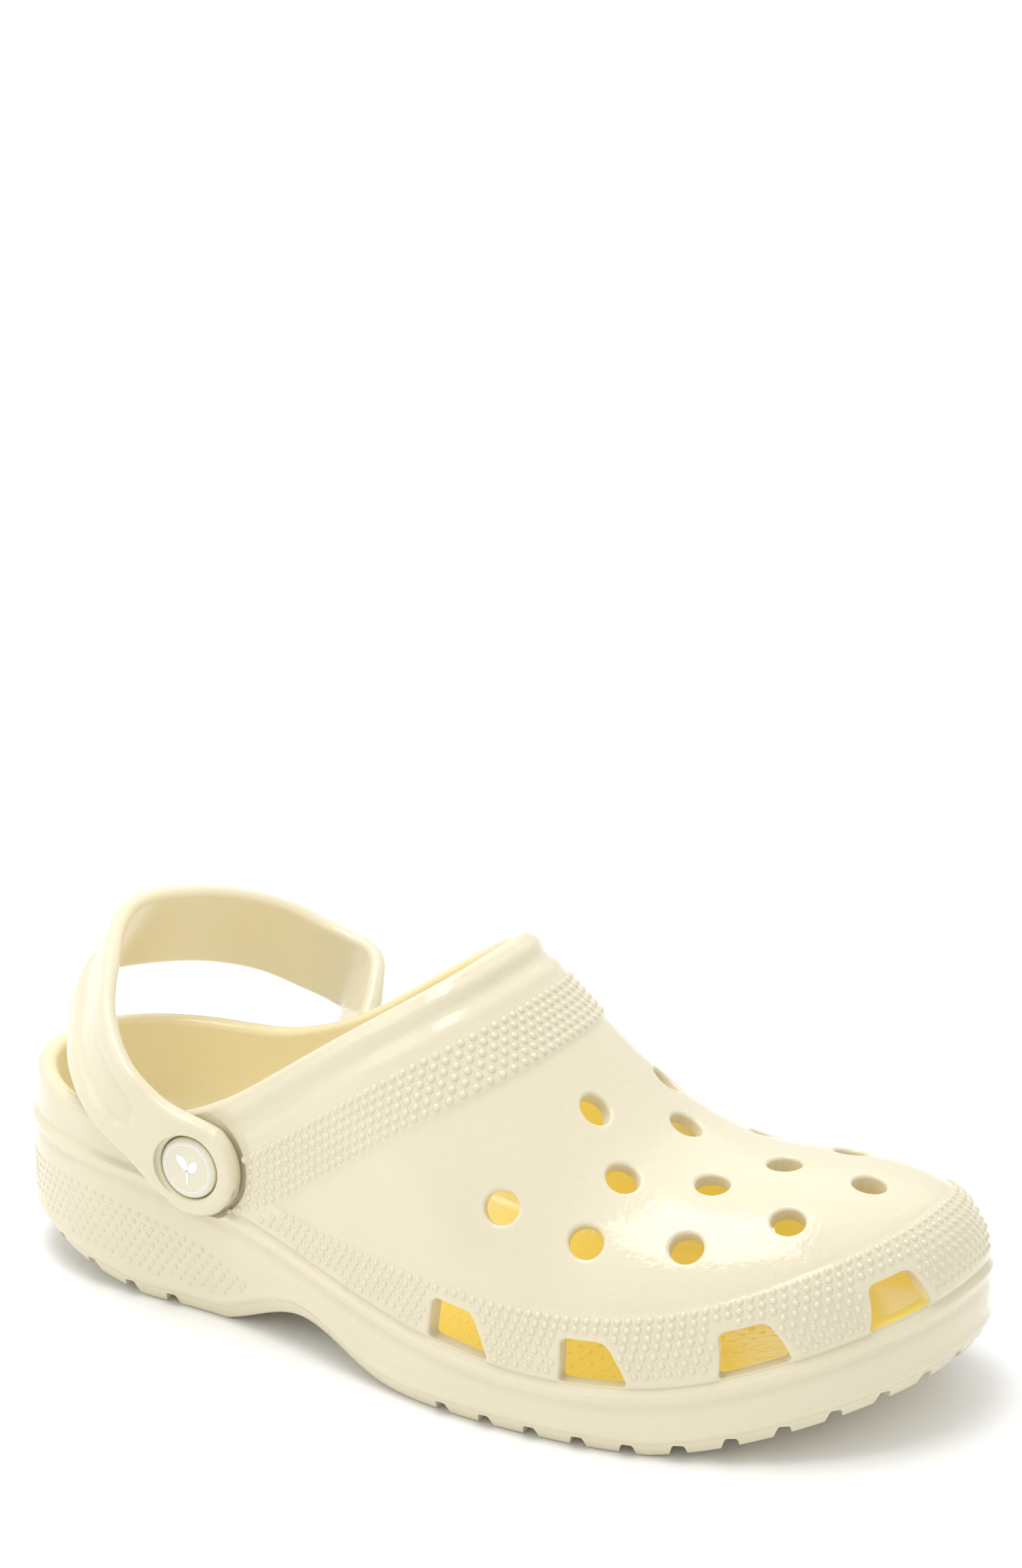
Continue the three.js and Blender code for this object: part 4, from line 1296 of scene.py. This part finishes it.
def build_strap():
    sizes = bpy.context.scene.clog_strap
    line = strap_line()
    run = run_along(line)
    total = run[-1]
    ear_steps = EAR_RADIUS * (1 - np.cos(np.linspace(0, math.pi / 2, 30)))
    ear_steps[0] = 0.02
    middle = np.linspace(EAR_RADIUS, total - EAR_RADIUS, 190)
    stations = np.concatenate([ear_steps, middle[1:-1], total - ear_steps[::-1]])
    from_tip = np.minimum(stations, total - stations)
    centres, outward, up = strap_sections(line, run, stations)
    across = np.sin(np.linspace(-1, 1, 41) * math.pi / 2)
    width = half_width_along(stations, total, sizes)
    flat = np.stack([np.repeat(stations[:, None], len(across), axis=1), width[:, None] * across], axis=-1)
    height = rounded_height(inset_from_outline(flat, stations, total, sizes), from_tip, sizes)
    outer_height = height - sizes.channel_depth / MM * channel_share(flat, from_tip, total, sizes)
    outer = centres[:, None] + outward[:, None] * outer_height[..., None] + up * flat[..., 1:2]
    inner = centres[:, None] - outward[:, None] * height[..., None] + up * flat[..., 1:2]
    rings = np.concatenate([outer, inner[:, -2:0:-1]], axis=1)
    strap = mesh_piece("heel_band", rings.reshape(-1, 3), tube_faces(len(stations), rings.shape[1]))
    face_outwards(strap)
    for label, side in SIDES:
        cut_ear_holes(strap, label, side)
    # Painted light: the strap's inner face gets a little painted deeper, glowing yellow.
    set_painted_light(strap, strap_painted_light)
    paint(strap, "glossy_strap_foam")
    smooth_finish(strap)
    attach(strap, "strap")
    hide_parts("heel_strap")


# ---- Rivets ----
def build_rivets():
    for label, side in SIDES:
        crown, tip = rivet_face(side)
        button = button_piece(label, side, crown, tip)
        paint(button, "cream_rivet_plastic")
        smooth_finish(button)
        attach(button, "clog")
        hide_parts(f"rivet_button_{label}")
        low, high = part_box(f"rivet_cap_{label}")
        inner, outer = sorted((abs(low[1]) / MM, abs(high[1]) / MM))
        cap = cap_piece(label, side, inner, outer)
        paint(cap, "cream_rivet_plastic")
        smooth_finish(cap)
        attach(cap, "clog")
        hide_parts(f"rivet_cap_{label}")
        build_mark(label, side, crown)


def button_piece(label, side, crown, tip):
    """Low domed head with rounded edges, and its post."""
    head, post = HEAD_RADIUS, POST_RADIUS
    under = crown - CLEARANCE - HEAD_THICKNESS
    return turned_about_rivet(
        f"button_{label}", side,
        [(0.4, crown), (head * 0.5, crown - 0.04), (head - 1.3, crown - 0.12), (head - 0.7, crown - 0.25),
         (head - 0.25, crown - 0.55), (head, crown - 1.1), (head, under + 0.3), (head - 0.3, under),
         (post, under), (post, tip + 0.4), (post - 0.4, tip), (0.4, tip)])


def cap_piece(label, side, inner, outer):
    """Ring that is pressed on the rivet's post inside the shell."""
    bore, radius = BORE_RADIUS, CAP_RADIUS
    return ring_about_rivet(
        f"cap_{label}", side,
        [(bore, inner + 0.3), (bore + 0.3, inner), (radius - 1.2, inner), (radius - 0.35, inner + 0.3),
         (radius, inner + 0.8), (radius, outer), (bore, outer)])


def raised_shape(name, outline, side, crown):
    """Thin raised print on the rivet's face, from a flat outline about the axis, in millimetres."""
    pivot = rivet_axis()
    rings = [[(pivot[0] - side * x, side * reach, pivot[2] + z) for x, z in outline]
             for reach in (crown - PRINT_ROOT, crown + PRINT_RISE)]
    piece = mesh_piece(name, np.concatenate(rings), tube_faces(2, len(outline)))
    face_outwards(piece)
    return piece


def leaf_outline(length_mm, width_mm, lean, start):
    """Pointed leaf from a start point, leaning by an angle from upright."""
    t = np.linspace(0, 1, 13)
    bulge = width_mm * np.sin(math.pi * t) ** 0.8
    right = np.stack([bulge, t * length_mm], axis=-1)
    left = np.stack([-0.55 * bulge, t * length_mm], axis=-1)[-2:0:-1]
    shape = np.vstack([right, left])
    c, s = math.cos(lean), math.sin(lean)
    return shape @ np.array([[c, -s], [s, c]]) + np.array(start)


def build_mark(label, side, crown):
    """Printed mark of the button: a ring round a sprout of two leaves."""
    parts = []
    for number, (inner, outer) in enumerate([(6.75, 7.05), (7.35, 7.55)]):
        parts.append(ring_about_rivet(f"ring_{label}_{number}", side, [
            (inner, crown - 0.4), (inner, crown + 0.02), (outer, crown), (outer, crown - 0.4)]))
    for number, (size, lean) in enumerate([(5.6, math.radians(-38)), (4.6, math.radians(42))]):
        leaf = leaf_outline(size, 1.7, lean, (0, -0.8))
        parts.append(raised_shape(f"leaf_{label}_{number}", leaf, side, crown))
    stem = [(-0.35, -4.6), (0.35, -4.6), (0.3, -0.6), (-0.3, -0.6)]
    parts.append(raised_shape(f"stem_{label}", stem, side, crown))
    mark = join(parts)
    mark.name = f"sprout_mark_{label}"
    paint(mark, "white_print")
    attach(mark, "clog")


# ---- Stage ----
def add_softbox(name, place, target, size, power):
    """Rectangular soft light that faces a target."""
    bpy.ops.object.light_add(type="AREA", location=place)
    light = bpy.context.object
    light.name = name
    light.data.shape = "RECTANGLE"
    light.data.size, light.data.size_y = size
    light.data.energy = power
    light.rotation_euler = (Vector(target) - Vector(place)).to_track_quat("-Z", "Y").to_euler()


def build_stage():
    deselect()
    bpy.ops.object.camera_add(location=(0.689, -1.1279, 0.6388),
                              rotation=(math.radians(69.868), 0, math.radians(31.102)))
    camera = bpy.context.object
    camera.data.sensor_width = 36
    camera.data.lens = 123.29
    camera.data.clip_start = 0.01
    bpy.context.scene.camera = camera
    deselect()
    bpy.ops.mesh.primitive_plane_add(size=9, location=(0, 0, 0))
    floor = bpy.context.object
    floor.name = "floor"
    bpy.ops.object.transform_apply()
    select_only(floor)
    paint(floor, "pale_floor")
    add_softbox("overhead", (-0.2, -0.1, 1.3), (0.02, 0, 0), (1.05, 0.62), 9)
    add_softbox("left_fill", (-1.2, -1.1, 0.9), (0, 0, 0.04), (1.2, 1.0), 3)
    add_softbox("far_wash", (-0.95, 1.6, 1.5), (-0.95, 1.6, 0), (2.4, 2.4), 8)
    world = bpy.context.scene.world or bpy.data.worlds.new("studio")
    bpy.context.scene.world = world
    world.use_nodes = True
    nodes = world.node_tree.nodes
    background = nodes.get("Background") or nodes.new("ShaderNodeBackground")
    output = nodes.get("World Output") or nodes.new("ShaderNodeOutputWorld")
    world.node_tree.links.new(background.outputs[0], output.inputs[0])
    background.inputs["Color"].default_value = (1, 1, 1, 1)
    background.inputs["Strength"].default_value = 0.86
    bpy.context.scene.view_settings.view_transform = "Standard"


# ---- Operators ----
SKIN = {}    # the upper's skin, kept for the studs that stand on it


class CLOG_OT_stage(bpy.types.Operator):
    """Sets up the camera, the pale floor and the soft lights"""
    bl_idname = "clog.stage"
    bl_label = "Stage"

    def execute(self, context):
        build_stage()
        return {"FINISHED"}


class CLOG_OT_shell(bpy.types.Operator):
    """Models the one-piece foam shell with its vents, ports and tread"""
    bl_idname = "clog.shell"
    bl_label = "Shell"

    def execute(self, context):
        SKIN["upper"] = build_shell()
        return {"FINISHED"}


class CLOG_OT_studs(bpy.types.Operator):
    """Adds the studded bands round the toe, the collar and the heel, and the nubs on the footbed"""
    bl_idname = "clog.studs"
    bl_label = "Studs"

    def execute(self, context):
        skin = SKIN.get("upper") or Skin(context.scene.clog_shell.mesh_columns)
        stud_field("toe_studs", toe_stud_places(skin))
        stud_field("collar_studs", collar_stud_places(skin), 1.15)
        stud_field("heel_studs", heel_stud_places(skin), 0.85)
        nubs = stud_field("footbed_nubs", nub_places(), 1.2)
        # Painted light: the footbed's nubs get the same painted deeper, glowing yellow as the footbed.
        set_painted_light(nubs, painted_inner_light)
        return {"FINISHED"}


class CLOG_OT_strap(bpy.types.Operator):
    """Models the heel strap with its channel and its two ears"""
    bl_idname = "clog.strap"
    bl_label = "Heel Strap"

    def execute(self, context):
        build_strap()
        return {"FINISHED"}


class CLOG_OT_rivets(bpy.types.Operator):
    """Models the two rivets, their caps and the printed sprout marks"""
    bl_idname = "clog.rivets"
    bl_label = "Rivets"

    def execute(self, context):
        build_rivets()
        return {"FINISHED"}


STEPS = (CLOG_OT_stage, CLOG_OT_shell, CLOG_OT_studs, CLOG_OT_strap, CLOG_OT_rivets)
SIZE_GROUPS = (("clog_shell", ClogShellSizes), ("clog_studs", ClogStudSizes), ("clog_strap", ClogStrapSizes),
               ("clog_colours", ClogColours))


class CLOG_PT_panel(bpy.types.Panel):
    """Lists the clog's steps and sizes"""
    bl_idname = "CLOG_PT_panel"
    bl_label = "Garden Clog"
    bl_space_type = "VIEW_3D"
    bl_region_type = "UI"
    bl_category = "Clog"

    def draw(self, context):
        for step in STEPS:
            self.layout.operator(step.bl_idname)
        for name, group in SIZE_GROUPS:
            box = self.layout.box()
            for label in group.__annotations__:
                box.prop(getattr(context.scene, name), label)


def register():
    for name, group in SIZE_GROUPS:
        bpy.utils.register_class(group)
        setattr(bpy.types.Scene, name, PointerProperty(type=group))
    for step in STEPS:
        bpy.utils.register_class(step)
    bpy.utils.register_class(CLOG_PT_panel)


def unregister():
    bpy.utils.unregister_class(CLOG_PT_panel)
    for step in reversed(STEPS):
        bpy.utils.unregister_class(step)
    for name, group in reversed(SIZE_GROUPS):
        delattr(bpy.types.Scene, name)
        bpy.utils.unregister_class(group)


def main():
    register()
    bpy.ops.clog.stage()
    bpy.ops.clog.shell()
    bpy.ops.clog.studs()
    bpy.ops.clog.strap()
    bpy.ops.clog.rivets()


if __name__ == "__main__":
    main()
